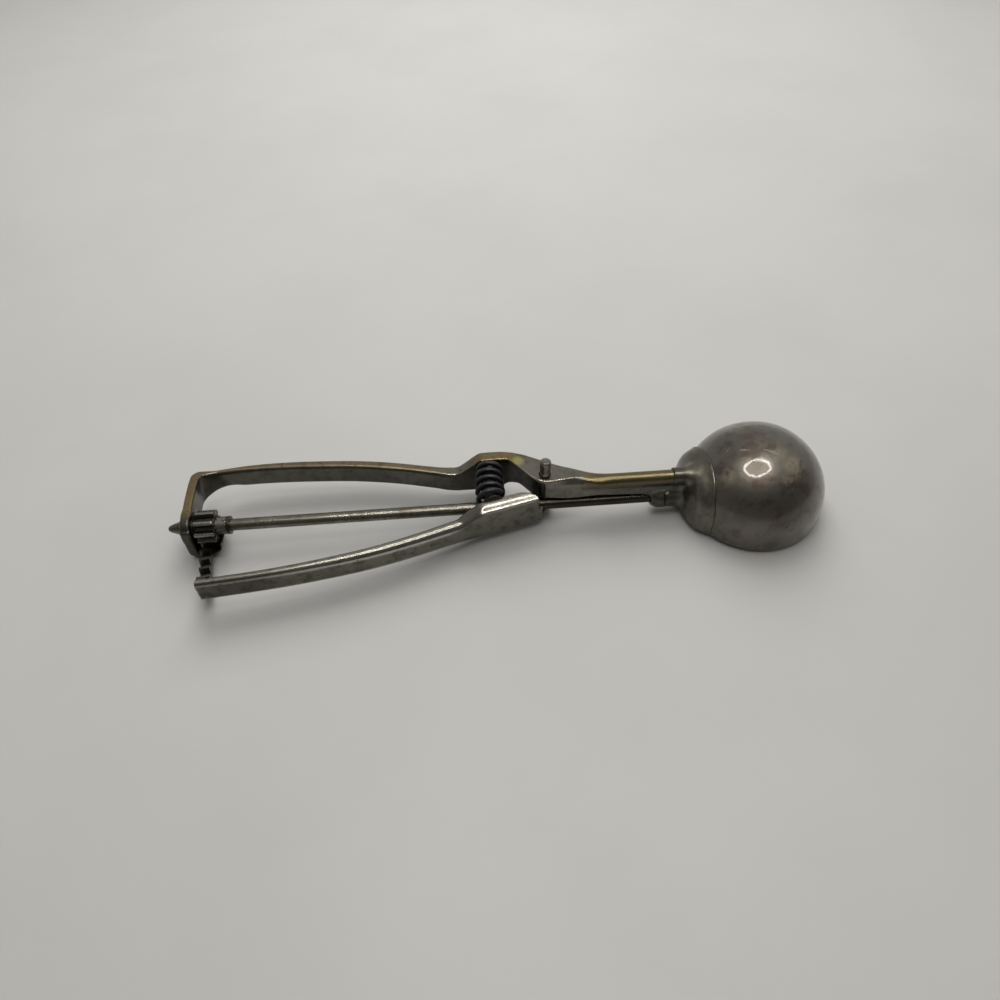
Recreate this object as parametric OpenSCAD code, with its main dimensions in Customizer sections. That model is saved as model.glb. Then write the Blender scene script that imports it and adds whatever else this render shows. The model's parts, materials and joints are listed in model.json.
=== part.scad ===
// Squeeze-handle ice cream scoop: a cast frame with a fixed grip, a sprung lever that drives a
// rack under a pinion, and a shaft that turns a scraper blade inside a hemispherical bowl.
// Drawn round the scraper shaft: X runs along the shaft from the grip to the bowl, Y points from
// the lever to the fixed grip and Z points out of the crown of the bowl.

/* [Bowl] */
// Outside diameter of the bowl
bowl_od = 57; // [46:1:70]
// Wall thickness of the bowl
bowl_wall = 1.1; // [0.8:0.1:1.6]
// Height of the straight skirt between the shaft axis and the rim
bowl_skirt = 4.8; // [4:0.2:8]
// Thickness of the saddle at the back of the bowl
saddle_t = 2.7; // [2:0.1:4]
// Share of the bowl radius where the saddle's front edge lies
saddle_reach = 0.73; // [0.6:0.01:0.85]

/* [Handle] */
// Distance from the bowl centre to the lever pivot
pivot_x = 86.8; // [72:1:110]
// Distance from the lever pivot to the back face of the frame
grip_len = 145.2; // [120:1:175]
// Gap between the shaft axis and the fixed grip at the back
grip_gap = 24.9; // [20:0.1:30]
// Gap between the shaft axis and the frame plate at the spring
plate_gap = 14.2; // [12:0.2:17]
// Height of both grips
strap_h = 10.4; // [8:0.2:12.5]
// Thickness of both grips
strap_t = 4; // [3.4:0.1:5]
// Thickness of the rear wall of the frame
rear_t = 3.6; // [3:0.1:4.4]
// Height of the shank rib above the shaft axis
rib_z = 11.9; // [10:0.1:14.3]
// Diameter of the shank rib
rib_d = 5.3; // [4.4:0.1:6.4]

/* [Lever] */
// Radius of the lever's outer curve
lever_r = 380; // [320:5:460]
// Height of the lever block's top above the shaft axis
block_top = 10; // [9:0.1:12]
// Diameter of the pivot pin
pin_d = 4.4; // [3.6:0.1:5.3]
// Length of pivot pin above the boss
pin_proud = 7.3; // [5:0.1:9]

/* [Shaft and gearing] */
// Diameter of the scraper shaft
shaft_d = 4.8; // [4:0.1:5.8]
// Teeth on the pinion
pinion_teeth = 8; // [8:1:8]
// Pitch diameter of the pinion
pinion_pitch_d = 11.2; // [10.4:0.1:11.6]
// Face width of the pinion
pinion_w = 7.8; // [6.5:0.1:9.4]
// Width of the rack
rack_w = 4; // [3.4:0.1:4.8]
// Sweep of the scraper in degrees
scraper_sweep = 180; // [150:1:180]

/* [Spring] */
// Wire diameter of the return spring
wire_d = 2; // [1.6:0.1:2.4]
// Outside diameter of the return spring
spring_od = 11.4; // [10.8:0.1:12.4]
// Number of turns
spring_turns = 4.6; // [4:0.1:5.4]

/* [Scraper] */
// Width of the scraper blade
blade_w = 7; // [5.6:0.1:8.4]
// Thickness of the scraper blade
blade_t = 0.8; // [0.6:0.1:1.2]
// Gap between the blade and the inside of the bowl
blade_gap = 0.4; // [0.3:0.05:0.8]

/* [Hidden] */
$fn = 96;
eps = 0.01;

// Clearances: a solid joint, a running fit (radial) and a gap between parts that pass
seat_gap = 0.03;
run_gap = 0.05;
pass_gap = 0.3;

// Bowl and saddle
bowl_r = bowl_od / 2;
bowl_in = bowl_r - bowl_wall;
saddle_shift = saddle_t - 1.1;
saddle_r = bowl_r + 1.1;
saddle_x = -saddle_reach * bowl_r;

// Shaft bearings: one bush in the frame's rear wall, one through the front boss and the saddle
shaft_r = shaft_d / 2;
bush_t = 1.1;
bush_r = shaft_r + run_gap + bush_t;
boss_r = bush_r + 1.9;
boss_len = 5.4;
socket_len = 7.1;
seam_x = -(bowl_r + socket_len);
boss_x = seam_x - boss_len;
nut_r = shaft_r + 0.2;

// Shank: a round rib over a thin web, with a tenon in the saddle's upper socket
rib_r = rib_d / 2;
collar_r = rib_r + 0.75;
web_t = 3.4;
tenon_len = 5.5;
web_low = shaft_r + 0.8;

// Pivot boss: a leaf-shaped block over the lever's knuckle, with the pin beside the shaft
flat_z = rib_z + 1.1;
pin_r = pin_d / 2;
pivot_y = shaft_r + pin_r + pass_gap;
eye_r = pin_r + 2.7;
piv = [-pivot_x, pivot_y];
knuckle_r = pin_r + 1.5;
knuckle_top = web_low - pass_gap;
groove_w = shaft_r + 0.6;
groove_z = shaft_r + 0.4;

// Frame plate beside the spring and the bends of the fixed grip
plate_t = 4.8;
plate_y0 = plate_gap;
plate_x1 = -pivot_x - 13;
plate_x0 = -pivot_x - 30.7;
back_x = -(pivot_x + grip_len);
bend_end = plate_x0 - 6;
crown_x = back_x + 0.28 * (bend_end - back_x);
bend_rise = grip_gap - plate_gap - 0.15;
bend_r = (pow(bend_end - crown_x, 2) + pow(bend_rise, 2)) / (2 * bend_rise);
bend_a = asin((bend_end - crown_x) / bend_r);
corner_r = 4.4;
gusset_r = 7;
rear_a = asin((crown_x - back_x - corner_r - 1) / bend_r);
corner_y = grip_gap - bend_r + (bend_r + strap_t) * cos(rear_a) + 0.1;

// Rear yoke: the wall that carries the shaft, with a floor and a lip that hold the rack in mesh
yoke_y = 6.6;
wall_in = back_x + rear_t;
yoke_end_r = 6.8;

// Pinion and rack
pitch_r = pinion_pitch_d / 2;
tooth_pitch = PI * pinion_pitch_d / pinion_teeth;
addendum = 1.1;
dedendum = 1.35;
backlash = 0.7;
tooth_half = tooth_pitch / 4 - backlash / 4;
gear_phase = 5.5;
flange_t = 0.5;
washer_t = 0.5;
rack_side = 1.3;
pinion_x0 = wall_in + flange_t + washer_t + 0.2;
pinion_x1 = pinion_x0 + pinion_w;
collar_len = 5.4;
rack_r = grip_len - rear_t - rack_side - rack_w / 2;
rack_in = -pivot_x - rack_r + rack_w / 2;
rack_top = -pitch_r + addendum;
rack_root = -pitch_r - dedendum;
rack_low = rack_root - 2.45;
rack_tip_y = 5;
floor_top = rack_low - pass_gap;
floor_z = floor_top - 3;
lip_top = -shaft_r - 1.4 - 0.5;

// Lever: its stroke turns the pinion through the scraper's sweep
stroke = scraper_sweep * pitch_r / rack_r;
join_a = 18.2;
join = [-pivot_x - 35.2, -13.45];
lever_c = join + lever_r * [-sin(join_a), cos(join_a)];
lever_mid_r = lever_r - strap_t / 2;
lever_end_x = -pivot_x - rack_r + 3.2;
lever_a0 = asin((lever_end_x - lever_c[0]) / lever_r);
block_low = -strap_h / 2 - 0.5;
block_x1 = -pivot_x - 2.5;
lever_c_y = lever_c[1] - lever_r * cos(lever_a0);
tang_y0 = lever_c_y + 2.2;
tang_y1 = lever_c_y + strap_t + 2.2;
tang_w = 2.6;

// Return spring: it bends a little, so each end sits square on its own face
spring_x = -pivot_x - 21.7;
spring_z = shaft_r + spring_od / 2 + 0.6;
coil_r = (spring_od - wire_d) / 2;
wire_r = wire_d / 2;
seat_a = 13;
seat_y = -4.1;
spring_len = plate_y0 - seat_y;
peg_r = coil_r - wire_r - 1.3;

// Scraper: a half hoop just inside the bowl, between a hub on the shaft and a stud in the nose
blade_r = bowl_in - blade_gap;
hub_r = shaft_r + 1.5;
hub_x0 = -(blade_r - 1.3);
hub_len = 5;
stud_r = 1.5;

// Rest attitude: the rim's front edge and the yoke's floor both touch the table
foot_x = rack_in - 1;
tilt = atan((floor_z + bowl_skirt) / (foot_x - bowl_r));
lift = bowl_r * sin(tilt) + bowl_skirt * cos(tilt);
shift_x = (pivot_x + grip_len + 6.4 - bowl_r) / 2;
shift_y = (-lever_c_y - grip_gap - strap_t) / 2;

module at_rest() {
    translate([shift_x, shift_y, lift]) rotate([0, tilt, 0]) children();
}

// ---------------------------------------------------------------- helpers

// Extrudes a shape drawn in Y and Z along X, from x0 to x1
module along_x(x0, x1) {
    translate([x0, 0, 0]) rotate([90, 0, 90]) linear_extrude(x1 - x0) children();
}

// Extrudes a shape drawn in X and Z along Y, from y0 to y1
module along_y(y0, y1) {
    translate([0, y1, 0]) rotate([90, 0, 0]) linear_extrude(y1 - y0) children();
}

// Extrudes a plan shape from z0 to z1
module plan(z0, z1) {
    translate([0, 0, z0]) linear_extrude(z1 - z0) children();
}

// A rod along X
module rod(x0, x1, r) {
    translate([x0, 0, 0]) rotate([0, 90, 0]) cylinder(h = x1 - x0, r = r);
}

// Two circles joined by their outer tangents
module link(p, rp, q, rq) {
    d = norm(q - p);
    th = atan2(q[1] - p[1], q[0] - p[0]);
    be = acos((rp - rq) / d);
    translate(p) circle(rp);
    translate(q) circle(rq);
    a = rp - 0.004;
    b = rq - 0.004;
    polygon([
        p + a * [cos(th + be), sin(th + be)],
        p + a * [cos(th - be), sin(th - be)],
        q + b * [cos(th - be), sin(th - be)],
        q + b * [cos(th + be), sin(th + be)]
    ]);
}

// Section of a grip: a flat bar with fully rounded edges
module grip_section(t, h) {
    square([t, h - t], center = true);
    for (s = [-1, 1]) translate([0, s * (h - t) / 2]) circle(t / 2);
}

// A stretch of grip bent about centre c at radius r, from angle a0 to a1
module grip_arc(c, r, a0, a1, t, h) {
    translate([c[0], c[1], 0]) rotate([0, 0, a0])
        rotate_extrude(angle = a1 - a0, $fn = 360) translate([r, 0]) grip_section(t, h);
}

// Envelope of a bowl of radius r with a skirt that ends at z = -skirt
module dome(r, skirt) {
    rotate_extrude() {
        intersection() {
            circle(r);
            square(r);
        }
        translate([0, -skirt]) square([r, skirt]);
    }
}

// ---------------------------------------------------------------- bowl

module bowl() {
    color("darkgray") at_rest() difference() {
        dome(bowl_r, bowl_skirt);
        dome(bowl_in, bowl_skirt + 1);
        rod(-bowl_r - 1, 0, bush_r + seat_gap);
        rod(0, bowl_r + 1, stud_r + seat_gap);
    }
}

module bowl_saddle() {
    color("gray") at_rest() difference() {
        union() {
            intersection() {
                translate([-saddle_shift, 0, 0]) dome(saddle_r, bowl_skirt);
                translate([saddle_x - 50, -50, -50]) cube([50, 100, 100]);
            }
            rod(seam_x, saddle_x, boss_r);
            translate([0, 0, rib_z]) rod(seam_x + eps, saddle_x, collar_r);
            along_x(seam_x + 2.2, saddle_x) translate([-web_t / 2, 0]) square([web_t, rib_z]);
        }
        dome(bowl_r + seat_gap, bowl_skirt + 1);
        rod(seam_x - 1, 0, bush_r + seat_gap);
        translate([0, 0, rib_z]) rod(seam_x - 1, seam_x + tenon_len + 0.1, rib_r + seat_gap);
    }
}

// ---------------------------------------------------------------- frame

// Leaf-shaped outline of the pivot boss
module boss_plan() {
    elbow = [plate_x1 + 2.2, plate_y0 + 1.1];
    heel = piv + [0.8, 2.9];
    tail = [-pivot_x + 19.5, 0.9];
    link(elbow, 2.5, piv, eye_r);
    link(elbow, 2.9, heel, 4.3);
    link(piv, eye_r, tail - [2.5, 1.1], 1.6);
    link(heel, 4.3, tail, 2.2);
}

// Side outline of the tall plate beside the spring
module plate_side() {
    low = -strap_h / 2;
    polygon([
        [plate_x1 - 3.6, low], [plate_x1 + 3.4, web_low], [plate_x1 + 3.4, flat_z],
        [plate_x0 + 5.6, flat_z], [plate_x0 - 2.4, strap_h / 2 - 0.3],
        [bend_end - 1, strap_h / 2 - 0.5], [bend_end - 1, low]
    ]);
}

module rear_yoke() {
    // rear wall, from the corner to past the shaft
    along_x(back_x, wall_in) {
        circle(yoke_end_r);
        translate([0, -strap_h / 2 - 0.8]) square([grip_gap - 2, strap_h + 2.4]);
        translate([-yoke_y, floor_z + 3]) square([2 * yoke_y, -floor_z - 3]);
    }
    // floor under the rack, with a lip that rises past the pinion's face
    under = -pitch_r - addendum;
    along_y(-yoke_y, yoke_y) {
        polygon([
            [back_x, floor_top + 2], [back_x, floor_z + 3], [back_x + 3, floor_z], [foot_x, floor_z],
            [rack_in + 1.9, floor_z + 1.2], [pinion_x1 + 1.6, under - 1.9],
            [pinion_x1 + 2.9, lip_top], [pinion_x1 + 0.4, lip_top], [pinion_x1 + 0.25, under - 0.3],
            [rack_in + 0.8, floor_top], [wall_in, floor_top], [wall_in, floor_top + 2]
        ]);
        difference() {
            translate([back_x + 3, floor_z + 3]) circle(3);
            translate([wall_in, floor_top]) square(9);
        }
    }
}

module fixed_grip() {
    // one long bend whose ends are buried in the corner block and in the plate
    grip_arc([crown_x, grip_gap - bend_r], bend_r + strap_t / 2, 90 - bend_a, 90 + rear_a,
        strap_t, strap_h);
    // corner block, with a fillet inside it that the rack's end passes under
    plan(rack_top + pass_gap, strap_h / 2 - 0.5) {
        translate([back_x + corner_r, corner_y - corner_r]) circle(corner_r);
        translate([back_x, corner_y - corner_r - 12]) square([rear_t, 12]);
        translate([back_x + corner_r, corner_y - strap_t - 0.6]) square([2.5, strap_t + 0.6]);
        difference() {
            translate([back_x + 1, grip_gap - gusset_r - 1])
                square([rear_t + gusset_r - 1, gusset_r + 1.5]);
            translate([wall_in + gusset_r, grip_gap - gusset_r - 1]) circle(gusset_r);
        }
    }
}

module shank() {
    translate([0, 0, rib_z]) rod(-pivot_x + 16, seam_x + tenon_len - 0.4, rib_r);
    along_y(-web_t / 2, web_t / 2) polygon([
        [-pivot_x + 4, web_low], [-pivot_x + 22, web_low + 1.6], [boss_x - 5, web_low + 0.2],
        [boss_x - 1, 1], [seam_x, 1], [seam_x, rib_z], [-pivot_x + 4, rib_z]
    ]);
    // bearing boss with a conical back
    rod(boss_x + 3, seam_x - eps, boss_r);
    translate([boss_x - 1.5, 0, 0]) rotate([0, 90, 0])
        cylinder(h = 4.5, r1 = shaft_r + 1, r2 = boss_r);
}

module frame() {
    color("darkkhaki") at_rest() difference() {
        union() {
            plan(web_low, flat_z) boss_plan();
            along_y(plate_y0, plate_y0 + plate_t) plate_side();
            fixed_grip();
            rear_yoke();
            shank();
        }
        translate([piv[0], piv[1], 0]) cylinder(h = flat_z + 1, r = pin_r + seat_gap);
        rod(back_x - 1, wall_in + 1, bush_r + seat_gap);
        rod(boss_x - 2, seam_x + 1, bush_r + seat_gap);
        rod(boss_x - 8, boss_x + 1, shaft_r + 0.4);
        translate([spring_x, plate_y0 - 1, spring_z]) rotate([-90, 0, 0])
            cylinder(h = plate_t + 2, r = peg_r - 0.7 + seat_gap);
    }
}

// ---------------------------------------------------------------- lever

// Outline of the knuckle that hangs under the boss, from its eye to the block
module knuckle_plan() {
    neck = piv + [-3.8, -6.6];
    link(piv, knuckle_r, neck, 3);
    link(piv + [-1.5, -1], 3, neck + [-7, -1.2], 3);
}

// Room that the shaft needs while the lever turns about the pin
module shaft_groove() {
    rise = tan(stroke + 0.2);
    near = groove_w - pivot_y;
    far = -groove_w - pivot_y;
    half = tan(stroke / 2);
    translate([piv[0], piv[1], 0]) plan(-groove_z, groove_z + 0.3) polygon([
        [-40, near], [-near * half, near], [20, near + 20 * rise],
        [20, far], [-far * half, far], [-40, far - (40 - far * half) * rise]
    ]);
}

// Plan of the lever block down to the height where it clears the shaft
module block_plan() {
    nose = [block_x1 - 1.9, join[1] + 10.2];
    polygon([
        join, join + [8, 2.7], [block_x1 - 1.9, nose[1] - 1.9], nose + [0.6, 1.8], [-pivot_x - 10.6, -1.1],
        [-pivot_x - 28.2, -6.6], join + strap_t * [-sin(join_a), cos(join_a)]
    ]);
    translate(nose) circle(1.9);
}

// Side outline of the block, ramped up from the grip
module block_side() {
    polygon([
        [join[0] - 1, -strap_h / 2 + 1], [join[0] + 6, block_low + 0.4], [join[0] + 12, block_low],
        [block_x1 - 6, block_low], [block_x1 + 1, block_low + 3], [block_x1 + 1, block_top - 2],
        [block_x1 - 2, block_top], [join[0] + 9, block_top], [join[0] + 1, strap_h / 2 - 0.4],
        [join[0] - 1, strap_h / 2 - 1]
    ]);
}

module squeeze_lever() {
    color("silver") at_rest() difference() {
        union() {
            grip_arc(lever_c, lever_mid_r, -90 + lever_a0, -90 + join_a + 0.4, strap_t, strap_h);
            intersection() {
                plan(block_low, block_top) block_plan();
                along_y(-40, 20) block_side();
            }
            plan(block_low, knuckle_top) knuckle_plan();
        }
        shaft_groove();
        translate([piv[0], piv[1], block_low - 1]) cylinder(h = 20, r = pin_r + run_gap);
        tang(seat_gap);
        at_lever_seat() cylinder(h = 6, r = peg_r - 0.7 + seat_gap, center = true);
        translate(pin_spot()) cylinder(h = 30, r = 0.8 + seat_gap, center = true);
    }
}

// ---------------------------------------------------------------- rack

// Angle about the pivot at which the rack's centre line is at height y in plan
function rack_a(y) = 180 - asin((y - pivot_y) / rack_r);

// Tongue that stands up from the rack into the lever, grown by g
module tang(g) {
    a1 = rack_a(tang_y0);
    a0 = rack_a(tang_y1 + g);
    translate([piv[0], piv[1], 0]) rotate([0, 0, a0])
        rotate_extrude(angle = a1 - a0 + asin(g / rack_r), $fn = 360)
        translate([rack_r - tang_w / 2 - g, -strap_h / 2 - 1.6])
        square([tang_w + 2 * g, strap_h / 2 + 3.6 + g]);
}

function pin_spot() = [
    piv[0] + rack_r * cos(rack_a(tang_y0 + 0.9)),
    piv[1] + rack_r * sin(rack_a(tang_y0 + 0.9)),
    -strap_h / 2
];

// One gap between rack teeth, as a wedge across the rack
module rack_gap() {
    rise = addendum + 0.6;
    top = tooth_pitch / 2 - tooth_half + tan(22) * rise;
    low = tooth_pitch / 2 - tooth_half - tan(22) * dedendum;
    translate([rack_r - rack_w, 0, -pitch_r]) rotate([90, 0, 90]) linear_extrude(2 * rack_w)
        polygon([[-low, -dedendum], [low, -dedendum], [top, rise], [-top, rise]]);
}

module rack() {
    a0 = rack_a(rack_tip_y);
    a1 = rack_a(tang_y1 - 1.5);
    mesh_y = pitch_r * gear_phase * PI / 180;
    step = tooth_pitch / rack_r * 180 / PI;
    last = floor((rack_a(tang_y1 + 1.5) - rack_a(0)) / step - 0.5);
    color("dimgray") at_rest() difference() {
        union() {
            translate([piv[0], piv[1], 0]) rotate([0, 0, a0]) difference() {
                rotate_extrude(angle = a1 - a0, $fn = 360)
                    translate([rack_r - rack_w / 2, rack_low]) square([rack_w, rack_top - rack_low]);
                for (k = [-2:last]) rotate([0, 0, rack_a(mesh_y) - a0 + (k + 0.5) * step]) rack_gap();
                // the foot passes under the lever
                rotate([0, 0, rack_a(tang_y1 + 1.2) - a0]) rotate_extrude(angle = 8, $fn = 360)
                    translate([rack_r - rack_w, -strap_h / 2 - seat_gap]) square([2 * rack_w, 10]);
            }
            tang(0);
        }
        translate(pin_spot()) cylinder(h = 30, r = 0.8 + seat_gap, center = true);
    }
}

module rack_pin() {
    color("dimgray") at_rest() translate(pin_spot()) translate([0, 0, -0.2])
        cylinder(h = 5.6, r = 0.8);
}

// ---------------------------------------------------------------- pivot and spring

module pivot_pin() {
    top = flat_z + pin_proud;
    color("silver") at_rest() translate([piv[0], piv[1], 0]) {
        translate([0, 0, block_low - 0.9]) cylinder(h = 0.9 - run_gap, r = pin_r + 1);
        translate([0, 0, block_low - 0.5]) cylinder(h = top - block_low, r = pin_r);
        translate([0, 0, top - 0.5]) cylinder(h = 0.5, r1 = pin_r, r2 = pin_r - 0.5);
    }
}

// Places a child on the lever's seat for the spring, with Z pointing at the frame
module at_lever_seat() {
    translate([spring_x, seat_y, spring_z]) rotate([-90, 0, seat_a]) children();
}

// Centre of the coil's axis at share s of its length, and the axis' turn there
function axis_turn(s) = -seat_a * pow(1 - s, 2) * 0.9;
function axis_at(s) = [
    spring_x - 0.9 * (1 - s) * s * spring_len * sin(seat_a) / 2, seat_y + 1.15 + s * (spring_len - 2.35), spring_z
];

// A ring of the wire at share s: a circle square to the wire
function wire_ring(s, sides) = let (
    a = 360 * spring_turns * s,
    turn = -axis_turn(s),
    out = [cos(a) * cos(turn), cos(a) * sin(turn), sin(a)],
    ax = [-sin(turn), cos(turn), 0],
    c = axis_at(s) + coil_r * out
) [for (i = [0:sides - 1]) c + wire_r * (cos(360 * i / sides) * out + sin(360 * i / sides) * ax)];

module return_spring() {
    sides = 10;
    rings = ceil(spring_turns * 20);
    pts = [for (k = [0:rings]) each wire_ring(k / rings, sides)];
    skin = [
        for (k = [0:rings - 1], i = [0:sides - 1]) let (j = (i + 1) % sides)
            [k * sides + i, k * sides + j, (k + 1) * sides + j, (k + 1) * sides + i]
    ];
    start = [[for (i = [0:sides - 1]) sides - 1 - i]];
    end = [[for (i = [0:sides - 1]) rings * sides + i]];
    color("black") at_rest() polyhedron(pts, concat(start, skin, end), convexity = 10);
}

module frame_spring_peg() {
    color("gray") at_rest() translate([spring_x, plate_y0, spring_z]) rotate([90, 0, 0]) {
        cylinder(h = 3.5, r = peg_r);
        translate([0, 0, -plate_t]) cylinder(h = plate_t + eps, r = peg_r - 0.7);
    }
}

module lever_spring_peg() {
    color("gray") at_rest() at_lever_seat() {
        cylinder(h = 3.5, r = peg_r);
        translate([0, 0, -2.9]) cylinder(h = 2.9 + eps, r = peg_r - 0.7);
    }
}

// ---------------------------------------------------------------- shaft and gearing

module scraper_shaft() {
    color("silver") at_rest() difference() {
        union() {
            rod(back_x - pass_gap, hub_x0 + hub_len, shaft_r);
            rod(back_x - 3.2, back_x, shaft_r - 0.9);
        }
        translate([pinion_x1 + collar_len / 2 + 0.6, 0, 0]) cross_hole(0.75 + seat_gap);
        translate([hub_x0 + 2.6, 0, 0]) cross_hole(0.75 + seat_gap);
    }
}

// A hole or pin of radius r right across the shaft
module cross_hole(r) {
    rotate([0, 0, 0]) cylinder(h = 20, r = r, center = true);
}

module pinion_outline() {
    top = tooth_half - tan(22) * addendum * 0.9;
    low = tooth_half + tan(12) * dedendum;
    difference() {
        union() {
            circle(pitch_r - dedendum);
            for (k = [0:pinion_teeth - 1]) rotate(gear_phase - 90 + (k + 0.5) * 360 / pinion_teeth)
                polygon([
                    [0, -low], [pitch_r - dedendum, -low], [pitch_r, -tooth_half],
                    [pitch_r + addendum, -top], [pitch_r + addendum, top], [pitch_r, tooth_half],
                    [pitch_r - dedendum, low], [0, low]
                ]);
        }
        circle(shaft_r + seat_gap);
    }
}

module pinion() {
    color("dimgray") at_rest() along_x(pinion_x0, pinion_x1) pinion_outline();
}

module pinion_collar() {
    color("silver") at_rest() difference() {
        union() {
            rod(pinion_x1, pinion_x1 + collar_len, shaft_r + 1.2);
            rod(pinion_x1, pinion_x1 + collar_len - 1, shaft_r + 1.4);
        }
        rod(pinion_x1 - 1, pinion_x1 + collar_len + 1, shaft_r + seat_gap);
        translate([pinion_x1 + collar_len / 2 + 0.6, 0, 0]) cross_hole(0.75 + seat_gap);
    }
}

module collar_pin() {
    color("dimgray") at_rest() translate([pinion_x1 + collar_len / 2 + 0.6, 0, 0])
        cylinder(h = shaft_d + 3, r = 0.75, center = true);
}

module cone_nut() {
    base = back_x - pass_gap;
    color("darkkhaki") at_rest() difference() {
        union() {
            translate([base - 1, 0, 0]) rotate([0, 90, 0]) cylinder(h = 1, r = nut_r);
            translate([base - 1, 0, 0]) rotate([0, -90, 0]) cylinder(h = 4.6, r1 = nut_r, r2 = nut_r - 1.6);
            translate([base - 5.6, 0, 0]) rotate([0, -90, 0])
                cylinder(h = 0.65, r1 = nut_r - 1.6, r2 = nut_r - 2.1);
        }
        rod(base - 3.1, base + 1, shaft_r - 0.9 + seat_gap);
    }
}

module rear_bush() {
    color("peru") at_rest() difference() {
        union() {
            rod(back_x, wall_in + eps, bush_r);
            rod(wall_in, wall_in + flange_t, bush_r + 0.8);
        }
        rod(back_x - 1, wall_in + 2, shaft_r + run_gap);
    }
}

module rear_washer() {
    color("gray") at_rest() difference() {
        rod(wall_in + flange_t + 0.1, wall_in + flange_t + 0.1 + washer_t, bush_r + 0.3);
        rod(wall_in, wall_in + flange_t + 3, shaft_r + run_gap);
    }
}

module front_bush() {
    color("peru") at_rest() difference() {
        rod(boss_x, -bowl_in + 0.4, bush_r);
        rod(boss_x - 1, 0, shaft_r + run_gap);
    }
}

// ---------------------------------------------------------------- scraper

module scraper_hub() {
    color("silver") at_rest() difference() {
        rod(hub_x0 + 0.3, hub_x0 + hub_len, hub_r);
        rod(hub_x0 - 1, hub_x0 + hub_len + 1, shaft_r + seat_gap);
        translate([hub_x0 + 2.6, 0, 0]) cross_hole(0.75 + seat_gap);
        hub_rivet_spots() rod(-3, 20, 0.5 + seat_gap);
    }
}

module hub_pin() {
    color("dimgray") at_rest() translate([hub_x0 + 2.6, 0, 0])
        cylinder(h = 2 * hub_r + 0.4, r = 0.75, center = true);
}

// The two rivets lie either side of the shaft, through the blade's rear eye
module hub_rivet_spots() {
    for (s = [-1, 1]) translate([hub_x0 - blade_t + 0.3, s * (shaft_r + 0.78), 0]) children();
}

module blade_rivets() {
    color("dimgray") at_rest() hub_rivet_spots() rod(0, 3, 0.5);
}

module scraper_blade() {
    color("silver") at_rest() difference() {
        union() {
            rotate_extrude(angle = 180, $fn = 180) intersection() {
                difference() {
                    circle(blade_r);
                    circle(blade_r - blade_t);
                }
                translate([0, -blade_w / 2]) square([blade_r, blade_w]);
            }
            rod(hub_x0 - blade_t + 0.3, hub_x0 + 0.3, hub_r);
            rod(blade_r - 2.1, blade_r - 2.1 + blade_t, hub_r);
            along_x(hub_x0 - blade_t + 0.3, hub_x0 + 0.3) translate([0, -blade_w / 2])
                square([4.6, blade_w]);
            along_x(blade_r - 2.1, blade_r - 2.1 + blade_t) translate([0, -blade_w / 2])
                square([hub_r + 4, blade_w]);
        }
        rod(-bowl_r, 0, shaft_r + seat_gap);
        rod(0, bowl_r, stud_r + run_gap);
        hub_rivet_spots() rod(-3, 20, 0.5 + seat_gap);
    }
}

module nose_stud() {
    // ground flush with the outside of the bowl, with a head inside the blade's eye
    color("silver") at_rest() {
        rod(blade_r - 3.5, sqrt(bowl_r * bowl_r - stud_r * stud_r), stud_r);
        rod(blade_r - 3.5, blade_r - 2.2, stud_r + 1.1);
    }
}

bowl();
bowl_saddle();
frame();
squeeze_lever();
rack();
rack_pin();
pivot_pin();
return_spring();
frame_spring_peg();
lever_spring_peg();
scraper_shaft();
pinion();
pinion_collar();
collar_pin();
cone_nut();
rear_bush();
rear_washer();
front_bush();
scraper_hub();
hub_pin();
scraper_blade();
blade_rivets();
nose_stud();
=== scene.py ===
"""Lever ice cream scoop: cast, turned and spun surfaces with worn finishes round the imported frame.

Shapes are worked out in millimetres round the scraper shaft: x runs along the shaft to the bowl,
y from the squeeze lever to the fixed grip, z out of the bowl's crown, and the bowl's centre is 0.
to_row() puts them in the row frame, in metres.
"""

import json
import math

import bpy
import numpy as np
from mathutils import Matrix


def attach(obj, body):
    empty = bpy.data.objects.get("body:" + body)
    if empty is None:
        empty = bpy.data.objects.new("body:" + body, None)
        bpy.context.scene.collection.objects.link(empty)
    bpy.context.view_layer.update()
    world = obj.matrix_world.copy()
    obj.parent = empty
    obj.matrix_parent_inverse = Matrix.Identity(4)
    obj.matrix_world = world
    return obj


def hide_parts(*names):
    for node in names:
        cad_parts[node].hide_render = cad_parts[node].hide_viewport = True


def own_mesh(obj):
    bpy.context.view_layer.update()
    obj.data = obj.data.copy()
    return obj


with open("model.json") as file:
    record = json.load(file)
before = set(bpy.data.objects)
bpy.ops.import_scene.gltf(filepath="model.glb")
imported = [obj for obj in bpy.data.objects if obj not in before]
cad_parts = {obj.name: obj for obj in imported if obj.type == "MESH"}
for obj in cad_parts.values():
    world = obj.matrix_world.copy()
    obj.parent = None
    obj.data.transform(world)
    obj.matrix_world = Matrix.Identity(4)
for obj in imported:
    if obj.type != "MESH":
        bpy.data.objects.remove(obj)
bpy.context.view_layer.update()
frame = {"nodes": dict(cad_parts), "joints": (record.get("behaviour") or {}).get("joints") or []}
joints = {j["name"]: j for j in frame["joints"]}

# ---------------- frame of the drawing

SHAFT_POINT_TO_BOWL = 0.1  # metres along the shaft, from its joint's point to the bowl's centre
ALONG = np.array(joints["shaft_spin"]["axis"], float)
ALONG /= np.linalg.norm(ALONG)
ACROSS = np.array([0.0, 1.0, 0.0])
UP = np.cross(ALONG, ACROSS)
CENTRE = np.array(joints["shaft_spin"]["pos_m"], float) + SHAFT_POINT_TO_BOWL * ALONG
AXES = np.stack([ALONG, ACROSS, UP])

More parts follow.
